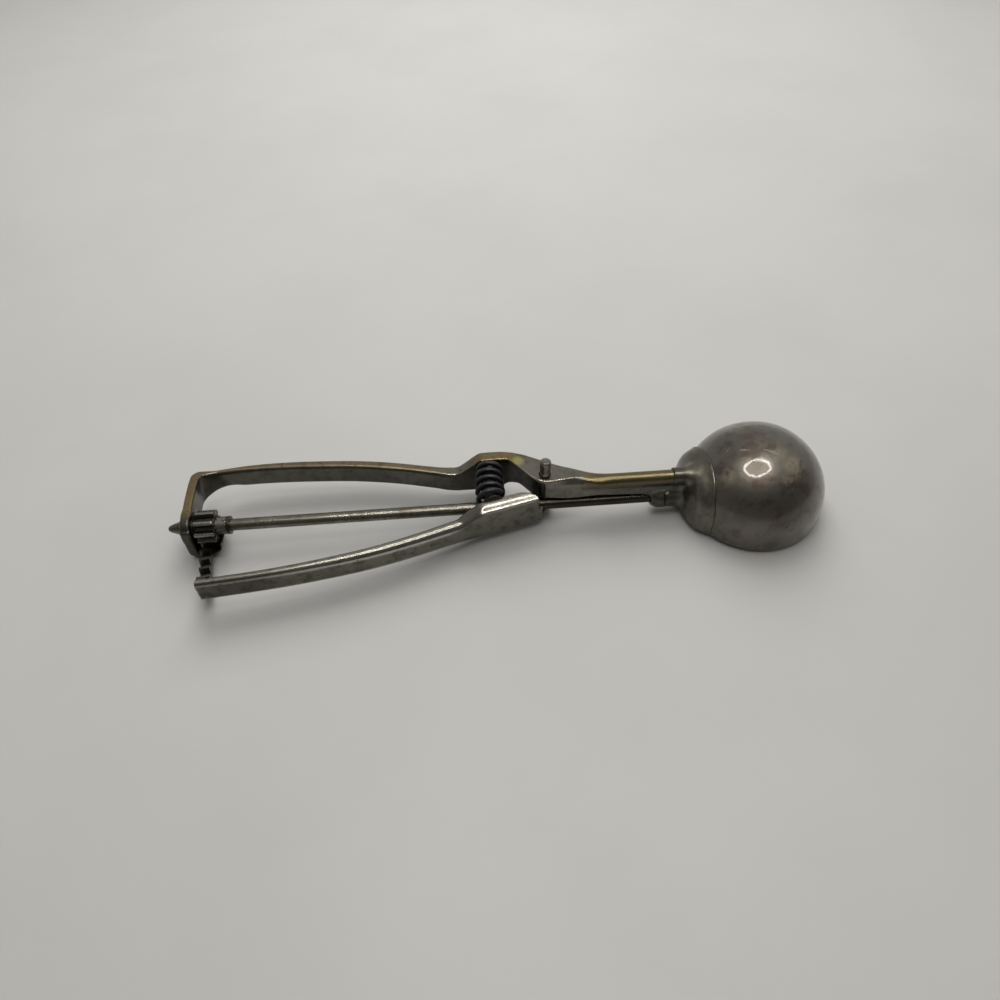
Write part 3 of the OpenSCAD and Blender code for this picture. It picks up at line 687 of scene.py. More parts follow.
def frame_field(x, y, z):
    """The frame casting. A band in plan between the lines grip_in(x) and grip_out(x), from
    grip_low(x) up to grip_top(x), turns into the rear wall by a gusset. That corner is raised
    underneath, for the rack to pass. A hooked yoke goes under the rack, and a rib on a web, with a
    nose round the shaft, makes the shank. The holes are cut last."""
    off_shaft = np.hypot(y, z)
    outer = common(WALL_X0 - x, side_of(grip_out, x, y), 3.4)
    room = common(WALL_X1 - x, side_of(grip_in, x, y), 1.5)
    gusset = 0.804 * (y - 24.0) - 0.594 * (x + 219.5) - 0.36 * (z + GRIP_Z)
    plan = np.maximum(outer, -common(room, gusset, 2.4))
    at_wall = 1 - smooth(-229.5, -222.0, x)
    raised = 1.5 * (1 - smooth(-220.5, -211, x)) * smooth(3, 10, y)
    top = grip_top(x)[0] + at_wall * (wall_top(y)[0] - GRIP_Z)
    low = grip_low(x)[0] - 0.5 * at_wall + raised
    soft = 1.65 - 0.9 * smooth(-131, -121, x) - 1.0 * at_wall - 0.08 * smooth(-106, -98, x)
    solid = common(plan, np.maximum(z - top, low - z), soft)
    solid = common(solid, np.maximum(-y, x + 50), 0.5)

    lobe = merge(off_shaft - LOBE_R, np.maximum(np.abs(y) - YOKE_HALF, between(z, -9.5, 0)), 0.5)
    lobe = common(lobe, between(x, WALL_X0, WALL_X1), 0.8)
    yoke = common(yoke_side(x, z), np.abs(y) - YOKE_HALF, 0.7)
    solid = merge(solid, merge(lobe, yoke, 0.6), 1.2)

    # The rib tapers and sinks as it turns into the boss, and the web widens to the boss's sides
    far = smooth(-58, -80, x)
    rib = np.hypot(y - 1.9 * far, z - RIB_Z + 2.0 * far) - (RIB_R - 1.0 * far)
    rib = common(rib, between(x, -86, SEAM_X + 1.5), 0.5)
    in_boss = smooth(-64, -75, x)
    near = 0.1 - (WEB_HALF + 0.1) * smooth(-90, -74, x)
    near = near + (grip_in(x)[0] + 0.1 - near) * in_boss * smooth(4.0, 14.5, z)
    near = np.maximum(near, grip_in(x)[0] + 0.9 - 5 * smooth(-89, -82, x))
    web_top = RIB_Z + (BOSS_Z - RIB_Z) * in_boss
    web = np.maximum(near - y, y - WEB_HALF) + 0.02
    web = common(web, np.maximum(web_low(x)[0] - z, z - web_top), 0.45)
    web = common(web, between(x, -92, SEAM_X + 2.4), 0.3)
    cone = off_shaft - (SHAFT_R + 0.9 + 1.5 * smooth(-43.8, -40.2, x))
    nose = common(cone, between(x, -43.2, NOSE_X), 0.25)
    solid = merge(solid, merge(merge(rib, web, 2.2), nose, 1.4), 0.9)
    solid = solid + unevenness(x, y, z, 9.0, 0.03)

    pin_hole = np.hypot(x - PIVOT[0], y - PIVOT[1]) - PIN_R - 0.06
    front_bush = np.maximum(off_shaft - BUSH_R, between(x, BUSH_X, 0))
    rear_bush = np.maximum(off_shaft - BUSH_R, x + 226)
    shaft_hole = np.maximum(off_shaft - SHAFT_R - 0.5, between(x, -60, BUSH_X + 1))
    peg_hole = np.maximum(np.hypot(x - SPRING_X, z - SPRING_Z) - 1.76, between(y, 10, 24))
    solid = carve(solid, pin_hole, 0.25)
    solid = carve(solid, np.minimum(np.minimum(front_bush, rear_bush), shaft_hole), 0.25)
    return carve(solid, peg_hole, 0.2)


def frame_marks(p, n):
    """brass: where the plating has gone, on the tops of the wall, the plate and, less, the grip,
    and on the shank's rib. dark: painted shade on the side that faces the lever, in the rear
    corner, on the wall's inner face, low on the rear wall round the shaft, in the yoke, under the
    rib and at the nose, and a darker tone on the rib's top and a little on the boss's top. yellow:
    a spot of old lacquer beside the plate, and some along the rib. shine: the rib's bare end at the
    saddle. The edges are rubbed less on the shank and at the rear, and the yoke keeps little dirt."""
    x, y, z = p.T
    nx, ny, nz = n.T
    wall = (1 - smooth(-228.6, -226.5, x)) * smooth(0.1, 0.7, nz) * smooth(-3, 2, y)
    plate = smooth(-122, -114, x) * (1 - smooth(-99.0, -97.0, x)) * smooth(0.5, 0.95, nz) * (z > 6)
    grip = 0.5 * smooth(0.2, 0.9, nz) * (1 - smooth(-130, -118, x)) * smooth(14, 18, y)
    rib = smooth(-75, -66, x) * smooth(-0.5, 0.25, nz - 0.3 * ny) * smooth(9.3, 10.6, z)
    brass = np.clip(np.maximum.reduce([wall, plate, grip, rib]), 0, 1)

    # painted shade: the faces towards the lever, the rear corner, the wall's inner face, the lobe,
    # the yoke, the nose and the rib's underside are darkened where they lie in shade
    inner = smooth(0.3, 0.85, -ny) * (1 - smooth(-94, -84.5, x)) * smooth(-1, 3, y)
    inner = 0.72 * (inner * (0.55 + 0.45 * smooth(-140, -118, x)))
    gusset = 0.8 * smooth(0.75, 0.95, n @ [0.56, -0.76, 0.34]) * (x < -212)
    wall_inner_shade = 0.5 * smooth(0.4, 0.9, nx) * (1 - smooth(-227, -224, x))
    under = 0.75 * (1 - smooth(-224, -220, x)) * (1 - smooth(-3.0, 4.0, y))
    yoke = (0.75 - 0.5 * smooth(-223, -220.5, x)) * (1 - smooth(-215, -213, x))
    yoke = yoke * (1 - smooth(-1.0, 1.5, z + 0.35 * y)) * smooth(-0.2, 0.5, nx - ny)
    boss = 0.08 * smooth(0.8, 0.95, nz) * smooth(-99, -96, x) * (z > 12)
    nose = 0.5 * smooth(-50, -44, x) * (1 - smooth(3.0, 5.0, z))
    rib_underside_shade = 0.9 * smooth(-78, -66, x) * smooth(0.25, -0.45, nz) * smooth(8.0, 9.5, z)
    dark = [0.5 * rib, inner, gusset, wall_inner_shade, yoke, under, nose, rib_underside_shade, boss]

    off_spot = (x - LACQUER_SPOT[0]) ** 2 / 6.0 + (y - LACQUER_SPOT[1]) ** 2 / 6.0
    along_rib = 0.22 + 0.3 * np.exp(-((x + 72.0) ** 2) / 12.0)
    yellow = np.maximum(np.exp(-(off_spot**2)) * (nz > 0.3), along_rib * rib * smooth(0.2, 0.9, nz))
    bare_end = 0.7 * smooth(-38.4, -36.8, x) * smooth(0.2, 0.7, nz) * (z > 12)
    in_yoke = smooth(-1.5, -3.5, z) * (x < -214)
    rubbed = (1 - 0.75 * smooth(-84, -78, x)) * (1 - 0.7 * in_yoke)
    return {"brass": brass, "dark": np.clip(np.maximum.reduce(dark), 0, 1), "yellow": yellow,
            "shine": bare_end, "edge_share": rubbed * (0.45 + 0.55 * smooth(-220, -208, x)),
            "hollow_share": 1 - 0.75 * in_yoke}


cast("frame_casting", frame_field, (-234, -9, -14), (-31.5, 31, 16), frame_marks,
     "frame", cast_plate, ["frame"])

# ---------------- squeeze lever

LEVER_OUT = [
    (-232, -32.9), (-217.9, -31.75), (-211, -31.15), (-203.7, -30.5), (-196.4, -29.8),
    (-189.1, -28.95), (-181.7, -27.95), (-174.3, -26.8), (-166.9, -25.55), (-159.3, -24.1),
    (-151.7, -22.35), (-144.1, -20.25), (-136.3, -17.95), (-128.4, -15.5), (-120, -12.75),
    (-113, -10.6), (-106, -8.95), (-98, -7.0), (-80, -2.7),
]
LEVER_IN = [
    (-232, -29.5), (-217.9, -28.1), (-211, -27.45), (-203.7, -26.65), (-196.4, -25.8),
    (-189.1, -24.75), (-181.7, -23.6), (-174.3, -22.25), (-166.9, -20.75), (-159.3, -19.1),
    (-151.7, -17.15), (-144.1, -14.85), (-136.3, -12.3), (-128.4, -9.5), (-122, -7.6),
    (-116, -5.83), (-108.5, SEAT_Y), (-97.0, -1.45), (-92.4, -2.1), (-86, -6.4),
]
lever_out = two_eased(LEVER_OUT, 4.0, 1.2, -134, -124)
lever_in = two_eased(LEVER_IN, 4.0, 0.9, -134, -124)
lever_top = eased([(-240, 5.5), (-215, 5.2), (-122.2, 5.1), (-113.2, 10.0), (-60, 10.0)], 1.0)
lever_low = eased(
    [(-240, -5.4), (-215, -5.1), (-121, -5.2), (-112, LEVER_LOW), (-60, LEVER_LOW)], 1.2)


def in_block(x):
    """0 on the lever's strap and 1 on its spring block."""
    return smooth(-124, -115, x)


def crown_of(x):
    """The lever's crown at x: how far its middle is from the outer side, its radius, how much
    taller than round it is, and its drop at the outer side, tall (r - sqrt(r^2 - middle^2)). It is
    half round on the strap and broad on the spring block."""
    inner, slope = lever_in(x)
    half = 0.5 * (inner - lever_out(x)[0]) / np.sqrt(1 + slope**2)
    middle = half + (5.2 - half) * in_block(x)
    r = 1.015 * half + (9.0 - 1.015 * half) * in_block(x)
    tall = 1.2 - 0.2 * in_block(x)
    return middle, r, tall, tall * (r - np.sqrt(r**2 - middle**2))


def lever_field(x, y, z):
    """The squeeze lever: a band between lever_out(x) and lever_in(x) under a crown, which swells
    into the spring block, and a knuckle of two bars in plan under the boss. The shaft's groove,
    wide enough for the stroke, and the pin's hole are cut out of it."""
    out_side = -side_of(lever_out, x, y)
    plan = np.maximum(out_side, side_of(lever_in, x, y))
    plan = common(plan, between(x, -222.0, -60), 0.35)
    plan = common(plan, x + 89.1, 2.2)
    middle, r, tall, _ = crown_of(x)
    above = np.maximum(z - lever_top(x)[0] + tall * r, 0) / tall
    solid = common(plan, np.hypot(out_side + middle, above) - r, 0.25)
    tail = common(x + 88.8, lever_low(x)[0] - z, 5.2)
    solid = common(solid, tail, 1.2 - 0.3 * in_block(x))

    px, py = PIVOT
    eye = bar(x, y, PIVOT, PIN_R + 1.5, (px - 3.8, py - 6.6), 3.0)
    eye = merge(eye, bar(x, y, (px - 1.5, py - 1), 3.0, (px - 10.8, py - 7.8), 3.0), 1.0)
    solid = merge(solid, common(eye, between(z, LEVER_LOW, 2.85), 0.7), 0.8)
    solid = solid + unevenness(x, y, z, 9.0, 0.02)

    turn = math.tan(STROKE + 0.003)
    near = 3.0 + np.where(x > px, (x - px) * turn, 0)
    far = -3.0 - np.where(x < px, (px - x) * turn, 0)
    groove = np.maximum(between(y, far, near), between(z, -2.8, 3.1))
    groove = np.maximum(groove, between(x, px - 40, px + 20))
    solid = carve(solid, groove, 0.4)
    return carve(solid, np.hypot(x - px, y - py) - PIN_R - 0.08, 0.25)


def lever_marks(p, n):
    """shine: the polished crown, above the crease of the flat outer face, which stays matte, and
    half as much on the inner side. dark: painted shade on the fold where the strap becomes the
    block, and the outer face darker at the rear. The edges of the fold and of the tail are hardly
    rubbed."""
    x, y, z = p.T
    nx, ny, nz = n.T
    crease = lever_top(x)[0] - crown_of(x)[3] + 0.08
    top = smooth(-0.15, 0.15, z - crease) * smooth(-0.3, 0.1, nz)
    top = top * (0.5 + 0.5 * smooth(-190, -150, x))
    shine = np.maximum(top, 0.5 * smooth(0.5, 0.9, ny)) * smooth(-88.5, -89.5, x)
    # painted shade: the fold's sloping top is darkened as if in shade
    fold = smooth(-126, -122, x) * smooth(-111.5, -115, x) * smooth(0.1, 0.5, nz)
    fold = 0.65 * (fold * smooth(-0.05, -0.3, nx))
    rear = 0.6 * (1 - smooth(-208, -178, x)) * smooth(0.3, 0.8, -ny)
    plain = smooth(-128, -124, x) * smooth(-110, -114, x) + smooth(-92.5, -90.5, x)
    return {"shine": shine, "dark": np.maximum(fold, rear),
            "edge_share": 1 - 0.85 * np.clip(plain, 0, 1), "hollow_share": 1}


cast("lever_casting", lever_field, (-224, -35, -7.5), (-81, 11, 12), lever_marks,
     "lever", lever_plate, ["squeeze_lever"])

# ---------------- saddle and bowl


def bowl_distance(x, y, z):
    """Distance from the bowl's centre above its equator, and from its axis below."""
    return np.where(z > 0, np.sqrt(x**2 + y**2 + z**2), np.hypot(x, y))


def saddle_field(x, y, z):
    """The saddle: a shell round the bowl that thickens backwards, flared into an upper collar, a
    web and a lower socket, cut off in front and hollowed by the bowl, the rib and the bush."""
    thick = 0.4 + 2.3 * smooth(-21.5, -28.5, x)
    thick = thick + 0.8 * smooth(3, 14, y) * smooth(-21.2, -23.0, x) * smooth(-36, -29, x)
    ball = np.sqrt(x**2 + y**2 + z**2) - BOWL_R - thick
    tube = np.maximum(np.hypot(x, y) - BOWL_R - thick, z)
    off_rib, off_shaft = np.hypot(y, z - RIB_Z), np.hypot(y, z)
    upper = common(off_rib - 3.4, between(x, SEAM_X, ARM_X), 0.5)
    lower = common(off_shaft - SOCKET_R + 0.1, between(x, NOSE_X + 0.05, ARM_X), 0.2)
    web = np.maximum(between(z, 0, RIB_Z), between(x, SEAM_X + 0.05, ARM_X))
    web = common(np.abs(y) - WEB_HALF, web, 0.3)
    arm = merge(upper, merge(lower, web, 1.4), 1.4)
    solid = merge(np.where(z > 0, ball, tube), arm, 2.4)
    front = x - SADDLE_X + 0.5 * smooth(0, 20, np.abs(y))
    solid = common(solid, np.maximum(front, -SKIRT + 0.15 - z), 0.5)
    solid = solid + unevenness(x, y, z, 8.0, 0.04)
    solid = np.maximum(solid, -(bowl_distance(x, y, z) - BOWL_R + 0.25))
    ways = np.minimum(off_shaft - BUSH_R, np.maximum(off_rib - RIB_R - 0.05, x + 30))
    return carve(solid, ways, 0.2)


def saddle_marks(p, n):
    """shine and a larger edge share: a painted highlight, lighter worn colour along a length of the
    front edge, which is also smoother and coated there. dark: painted shade on the lower socket and
    the web above it, most near the socket's open end, and on the upper collar, darkened in place of
    its reflection. The rest of the front edge is hardly rubbed and keeps little dirt, and the
    socket's open end is painted darker and rougher as shade through a larger hollow share."""
    x, y, z = p.T
    # painted highlight: the edge is made lighter along this length of the front edge
    bare = smooth(-22.2, -21.6, x) * smooth(-11, -8, y) * smooth(0.5, -1.5, y) * smooth(8, 12, z)
    # painted shade on the lower socket and web under the rib, and on the upper collar
    socket = (0.45 + 0.4 * smooth(-36.5, -37.5, x)) * smooth(-31, -34, x) * smooth(8, 5, z)
    collar = 0.5 * smooth(-29.5, -31.5, x) * smooth(7, 9, z)
    # painted shade: the socket's open end under the web is made darker and rougher through the
    # hollow share
    mouth_shade = 2.5 * smooth(-36.2, -37.0, x) * smooth(2.5, 3.5, z)
    return {"shine": 0.9 * bare, "dark": np.maximum(socket, collar),
            "edge_share": 0.3 + 1.7 * bare,
            "hollow_share": 0.6 - 0.45 * smooth(-24.5, -22.5, x) + mouth_shade}


cast("saddle_casting", saddle_field, (-39.0, -30, -6), (-19.5, 30, 24), saddle_marks,
     "frame", saddle_plate, ["bowl_saddle"])

# Spots on the bowl: a direction, a height and a size
DENTS = [
    (-0.55, -0.35, 0.76, -0.10, 0.10), (-0.62, -0.1, 0.78, -0.08, 0.07),
    (0.1, -0.55, 0.83, -0.10, 0.16), (0.55, 0.2, 0.81, -0.07, 0.14),
    (0.35, -0.8, 0.45, -0.09, 0.15), (-0.25, 0.5, 0.83, 0.05, 0.2),
    (0.8, -0.45, 0.4, 0.06, 0.2), (-0.3, -0.85, 0.43, -0.07, 0.12),
    (0.0, 0.75, 0.66, -0.06, 0.16), (-0.36, -0.1, 0.93, -0.05, 0.035),
    (-0.26, -0.08, 0.96, -0.05, 0.03), (-0.13, -0.1, 0.985, -0.04, 0.03),
    (-0.2, -0.75, 0.63, -0.03, 0.02), (-0.55, -0.61, 0.58, -0.03, 0.02),
    (-0.67, -0.23, 0.7, -0.06, 0.03),
]
THIN_PLATE = [
    (0.26, -0.39, 0.88, 0.85, 0.13), (0.15, -0.56, 0.82, 0.7, 0.1), (-0.61, -0.35, 0.71, 0.6, 0.1),
    (0.1, -0.2, 0.97, 0.5, 0.12), (-0.3, 0.5, 0.8, 0.5, 0.2), (0.5, 0.6, 0.6, 0.6, 0.2),
]
DEEP_STAIN = [
    (-0.49, 0.15, 0.86, 0.9, 0.035), (-0.68, -0.23, 0.69, 0.8, 0.03),
    (-0.52, 0.2, 0.83, 0.6, 0.03), (0.6, 0.1, 0.8, 0.4, 0.12), (0.1, -0.9, 0.4, 0.35, 0.2),
    (-0.2, 0.85, 0.5, 0.4, 0.15),
]
# Scratches on the bowl: two directions and a half-width
SCRATCHES = [
    ((-0.40, -0.045, 0.916), (-0.30, -0.085, 0.95), 0.013),
    ((-0.12, -0.125, 0.985), (0.02, -0.18, 0.983), 0.014),
    ((-0.06, -0.17, 0.984), (0.06, -0.22, 0.974), 0.01),
    ((-0.55, 0.02, 0.835), (-0.5, 0.06, 0.864), 0.01),
    ((0.42, 0.5, 0.757), (0.5, 0.42, 0.757), 0.01),
    ((0.1, 0.6, 0.794), (-0.02, 0.62, 0.784), 0.01),
]


def spots_at(n, spots):
    """What each spot adds at directions n: h exp(-d^2 / 2s^2), with d from n to the spot."""
    spots = np.array(spots)
    d2 = ((n[..., None, :] - unit(spots[:, :3])) ** 2).sum(-1)
    return spots[:, 3] * np.exp(-d2 / (2 * spots[:, 4] ** 2))


def scratches_at(n):
    """For each scratch from a to b, exp(-d^2 / 2w^2), with d from the direction to the line a-b."""
    a, b = (np.array([v[k] for v in SCRATCHES], float) for k in (0, 1))
    ab = b - a
    t = np.clip(((n[:, None] - a) * ab).sum(-1) / (ab**2).sum(-1), 0, 1)
    d2 = ((n[:, None] - a - t[..., None] * ab) ** 2).sum(-1)
    return np.exp(-d2 / (2 * np.array([v[2] for v in SCRATCHES]) ** 2))


def bowl_skin(around=360, up=120):
    """The spun bowl, closed: rows go from the crown down the outside, round the rim and up the
    inside. A point is radius (cos a sin b, sin a sin b, cos b) above the equator and on a tube
    below it, and it is moved outwards by slow waves and by the dents, the sum of h exp(-d^2 /
    2s^2), which are the same on both sides of the wall and fade out down the skirt."""
    half, low, scale = BOWL_WALL / 2, SKIRT - BOWL_WALL / 2, (BOWL_R - BOWL_WALL) / BOWL_R
    b = np.linspace(0, math.pi / 2, up)[1:]
    down = np.concatenate([0 * b, -low * np.array([0.15, 0.35, 0.55, 0.75, 0.9, 1.0])])
    b = np.concatenate([b, np.full(6, math.pi / 2)])
    outer = BOWL_R * np.stack([np.sin(b), np.cos(b)], 1)
    shift = np.stack([0 * down, down], 1)
    turn = math.pi * np.arange(1, 10) / 10
    rim = np.stack([BOWL_R - half + half * np.cos(turn), -low - half * np.sin(turn)], 1)
    rows = np.concatenate([outer + shift, rim, (outer * scale + shift)[::-1]])
    a = np.linspace(0, 2 * math.pi, around, endpoint=False)
    x, y = rows[:, :1] * np.cos(a), rows[:, :1] * np.sin(a)
    p = np.stack([x, y, np.repeat(rows[:, 1:], around, 1)], -1)
    n = unit(p * np.stack([1 + 0 * x, 1 + 0 * x, p[..., 2] > 0], -1))
    wave = 0.02 * np.sin(5 * n[..., 0] + 1) * np.sin(6 * n[..., 1])
    wave += 0.012 * np.sin(11 * n[..., 0]) * np.sin(9 * n[..., 2] + 2)
    wave += unevenness(*np.moveaxis(p, -1, 0), 0.9, 0.012)
    moved = (spots_at(n, DENTS).sum(-1) + wave) * smooth(-SKIRT, -1.0, p[..., 2])
    p = p + n * moved[..., None]
    count = len(rows)
    tips = [[[0, 0, row[:, 2].mean() + 0.004]] for row in (p[0], p[-1])]
    faces = fan(0, 1, around)
    faces += (grid_faces(count, around, False, True)[:, ::-1] + 1).tolist()
    faces += fan(1 + count * around, 1 + (count - 1) * around, around, back=True)
    inside = np.repeat(np.arange(count) > len(outer) + len(rim), around)
    points = np.concatenate([tips[0], p.reshape(-1, 3), tips[1]])
    return points, faces, np.concatenate([[0], inside, [1]])


points, faces, inside = bowl_skin()
outside, toward = 1 - inside, unit(points)
rim = np.exp(-((points[:, 2] + SKIRT) ** 2) / 0.18)
piece("bowl_shell", points, faces, "frame", bowl_plate, ["bowl"], {
    "edge": 0.8 * rim + 0.7 * scratches_at(toward).max(1) * outside, "hollow": 0.25 * inside,
    "brass": spots_at(toward, THIN_PLATE).max(1) * outside,
    "dark": spots_at(toward, DEEP_STAIN).max(1)})

# ---------------- turned parts


def turned_piece(name, profile, base, axis, body, material, slot, stands_for, closed=False, r=0.15,
                 around=96, dark=None):
    """A turned piece whose edge mark is how far its profile turns at a point. dark is two places
    along it and the mark's share between them."""
    line = crisp(profile + profile[:2], r)[1:-2] if closed else crisp(profile, r)
    points, faces = turned(line, base, axis, around, closed)
    step = np.diff(line, axis=0)
    heading = np.unwrap(np.arctan2(step[:, 1], step[:, 0]))
    bend = np.clip(2.2 * np.abs(np.diff(heading)), 0, 1)
    bend = np.repeat(np.pad(bend, 1) if closed else bend, around)
    marks = {"edge": bend if closed else np.pad(bend, 1)}
    if dark:
        low, high, share = dark
        t = (points - np.array(base, float)) @ np.array(axis, float)
        before_high = smooth(high + 0.15, high - 0.05, t)
        marks["dark"] = share * smooth(low - 0.15, low + 0.05, t) * before_high
    return piece(name, points, faces, body, material, stands_for, marks)


ON_SHAFT = (0, 0, 0), (1, 0, 0)
# The shaft is painted in shade by its dark mark where it runs under the web
turned_piece(
    "shaft_rod",
    [(-235.2, 0), (-235.2, 1.5), (-232.3, 1.5), (-232.3, SHAFT_R), (-228, SHAFT_R),
     (-200, SHAFT_R + 0.02), (-150, SHAFT_R - 0.02), (-91.2, SHAFT_R + 0.01),
     (-89.6, SHAFT_R + 0.01), (-41, SHAFT_R), (-39.6, SHAFT_R), (-20.8, SHAFT_R), (-20.8, 0)],
    *ON_SHAFT, "shaft", shaft_steel, "shaft_steel", ["scraper_shaft"], dark=(-90.0, -40.0, 0.95))
# The collar's groove and end ring are painted in shade by its dark mark
turned_piece(
    "collar",
    [(-219.4, 2.44), (-219.4, 3.62), (-215.3, 3.62), (-215.2, 3.3), (-214.9, 3.3), (-214.8, 3.72),
     (-213.95, 3.72), (-213.9, 3.6), (-213.9, 2.44)],
    *ON_SHAFT, "shaft", pin_steel, "plated", ["pinion_collar"], closed=True, r=0.1,
    dark=(-215.3, -213.7, 0.9))
turned_piece(
    "cone_nut_skin",
    [(-238.6, 0), (-238.5, 0.6), (-238.15, 1.05), (-237.5, 1.42), (-235.4, 2.2), (-233.6, 2.85),
     (-233.1, 2.95), (-232.35, 2.95), (-232.35, 0)],
    *ON_SHAFT, "shaft", nut_brass, "plated", ["cone_nut"])
turned_piece(
    "pivot_pin_skin",
    [(-6.6, 0), (-6.6, 3.2), (-5.76, 3.2), (-5.76, PIN_R), (BOSS_Z, PIN_R), (16.6, PIN_R),
     (PIN_TOP - 0.55, PIN_R), (PIN_TOP - 0.05, PIN_R - 0.5), (PIN_TOP, PIN_R - 0.62),
     (PIN_TOP - 0.12, 0.9), (PIN_TOP - 0.16, 0)],
    (*PIVOT, 0), (0, 0, 1), "frame", pin_steel, "plated", ["pivot_pin"], r=0.18, around=72)
turned_piece(
    "lever_peg_skin",
    [(-0.5, 0), (-0.5, 3.55), (0.9, 3.55), (1.2, PEG_R + 0.5), (1.7, PEG_R), (3.3, PEG_R),
     (3.3, 0)],
    (SPRING_X, SEAT_Y, SPRING_Z), (-math.sin(SEAT_LEAN), math.cos(SEAT_LEAN), 0),
    "lever", rust_brown, "dark_steel", ["lever_spring_peg"], r=0.2)

# ---------------- pinion


def pinion_skin(per_tooth=40):
    """The pinion: a toothed outline carried along the shaft. The radius at angle a swings between
    root and tip as tanh(k cos(8 (a - a0)) - c), and the ends draw in by a quarter of a round.
    Three rings on each side close it towards the shaft."""
    root, tip, chamfer = PITCH_R - 1.35, PITCH_R + 1.05, 0.5
    a = np.linspace(0, 2 * math.pi, TEETH * per_tooth, endpoint=False)
    phase = math.radians(5.5 - 90 + 22.5)
    wave = np.tanh(2.6 * np.cos(TEETH * (a - phase)) - 0.35)
    r = root + (tip - root) * ((wave - wave.min()) / (wave.max() - wave.min()))
    x = np.array([0, 0.12, 0.3, 0.55, 1.0, 2.0, 4.0, 5.8, 6.8, 7.25, 7.5, 7.68, 7.8]) + PINION_X0
    to_end = np.clip(np.minimum(x - PINION_X0, PINION_X1 - x) / chamfer, 0, 1)
    full = r - (chamfer * (1 - np.sqrt(1 - (1 - to_end) ** 2)))[:, None]
    inward, dish = np.cumprod([1.0, 0.7 / 0.82, 0.62 / 0.82]), np.array([0, 0, 0.12])
    first, last = (np.outer(inward, np.minimum(ring, root - 0.3)) for ring in full[[0, -1]])
    rings = np.concatenate([first[::-1], full, last])
    xs = np.concatenate([(PINION_X0 + dish)[::-1], x, PINION_X1 - dish])
    p = np.stack([np.repeat(xs[:, None], len(a), 1), rings * np.cos(a), rings * np.sin(a)], -1)
    marks = {"edge": smooth(tip - 0.5, tip - 0.05, rings).ravel(),
             "hollow": 0.6 * (1 - smooth(root, root + 1.3, rings)).ravel()}
    return p.reshape(-1, 3), grid_faces(len(xs), len(a), True, True).tolist(), marks


points, faces, marks = pinion_skin()
piece("pinion_skin", points, faces, "shaft", gear_steel, ["pinion"], marks)

# ---------------- return spring


def spring_skin(turns=4.55, per_turn=44, sides=16):
    """A round wire on a helix, centre + R (cos a u + sin a z), whose axis bends from the lever's
    seat to the plate. Its pitch closes up over the last half turn at each end, eased by a
    Gaussian, and the ends are ground flat."""
    s = np.linspace(0, 1, int(turns * per_turn) + 1)
    wire, coil = 1.05, 4.75 + 0.4 * (1 - s[:, None])
    rise = np.interp(s * turns, [0, 0.5, turns - 0.5, turns], [0, 0.09, 0.91, 1.0])
    bell = np.exp(-np.linspace(-2.5, 2.5, 21) ** 2)
    rise = np.convolve(np.pad(rise, 10, "reflect", reflect_type="odd"), bell / bell.sum(), "valid")
    length = PLATE_Y - SEAT_Y
    turn = SEAT_LEAN * (1 - rise) ** 2 * 0.95
    along = SEAT_Y + wire - 0.2 + rise * (length - 2 * wire + 0.35)
    bow = 0.45 * (1 - rise) * rise * length * math.sin(SEAT_LEAN)
    lean = SPRING_X - 0.6 * (1 - rise) - bow
    a = 2 * math.pi * turns * s + 0.6
    out = np.stack([np.cos(a) * np.cos(turn), np.cos(a) * np.sin(turn), np.sin(a)], -1)
    axis = np.stack([-np.sin(turn), np.cos(turn), 0 * turn], -1)
    c = np.stack([lean, along, 0 * along + SPRING_Z], -1) + coil * out
    b = np.linspace(0, 2 * math.pi, sides, endpoint=False)[:, None]
    p = c[:, None] + wire * (np.cos(b) * out[:, None] + np.sin(b) * axis[:, None])
    seat = SEAT_Y + (p[..., 0] - SPRING_X) * math.tan(SEAT_LEAN)
    p[..., 1] = np.clip(p[..., 1], seat + 0.02, PLATE_Y - 0.02)
    count = len(s)
    points = np.concatenate([p.reshape(-1, 3), p[:1].mean(1), p[-1:].mean(1)])
    faces = grid_faces(count, sides, False, True).tolist()
    faces += fan(count * sides, 0, sides, back=True)
    faces += fan(count * sides + 1, (count - 1) * sides, sides)
    outer = np.tile(smooth(0.2, 1.0, np.cos(b[:, 0])), count)
    return points, faces, np.concatenate([0.75 * outer, [0, 0]])


points, faces, edge = spring_skin()
spring = piece("spring_coil", points, faces, "frame", spring_black,
               ["return_spring"], {"edge": edge})
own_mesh(spring)

# ---------------- finishes of the CAD nodes that stay

FINISH = {
    gear_steel: "rack frame_spring_peg rear_bush rear_washer", bearing_bronze: "front_bush",
    pin_steel: "rack_pin collar_pin hub_pin blade_rivets nose_stud", shaft_steel: "scraper_hub",
    blade_steel: "scraper_blade",
}
for finish, names in FINISH.items():
    for name in names.split():
        slots = frame["nodes"][name].data.materials
        slots.clear()
        slots.append(finish)

# ---------------- table, light and camera


def stand(obj, x_axis, y_axis, z_axis, at):
    """Puts an object at a place, turned by its three directions."""
    pose = np.eye(4)
    pose[:3] = np.stack([x_axis, y_axis, z_axis, at], 1)
    obj.matrix_world = Matrix(pose.tolist())


def build_table():
    """A wide pale board with faint cloudy stains."""
    mesh = bpy.data.meshes.new("table")
    mesh.from_pydata([(-3, -3, 0), (3, -3, 0), (3, 3, 0), (-3, 3, 0)], [], [(0, 1, 2, 3)])
    board = bpy.data.materials.new("table_board")
    g = blank(board)
    seat = g.add("TexCoord").outputs["Object"]
    cloud = g.spread(g.noise(seat, 7.0, 4.0, 0.6), 0.35, 0.7)
    colour = g.mix(cloud, (0.535, 0.527, 0.505, 1), (0.508, 0.502, 0.482, 1))
    g.finish(g.add("BsdfPrincipled", Base_Color=colour, Roughness=0.55))
    mesh.materials.append(board)
    place("table", mesh)


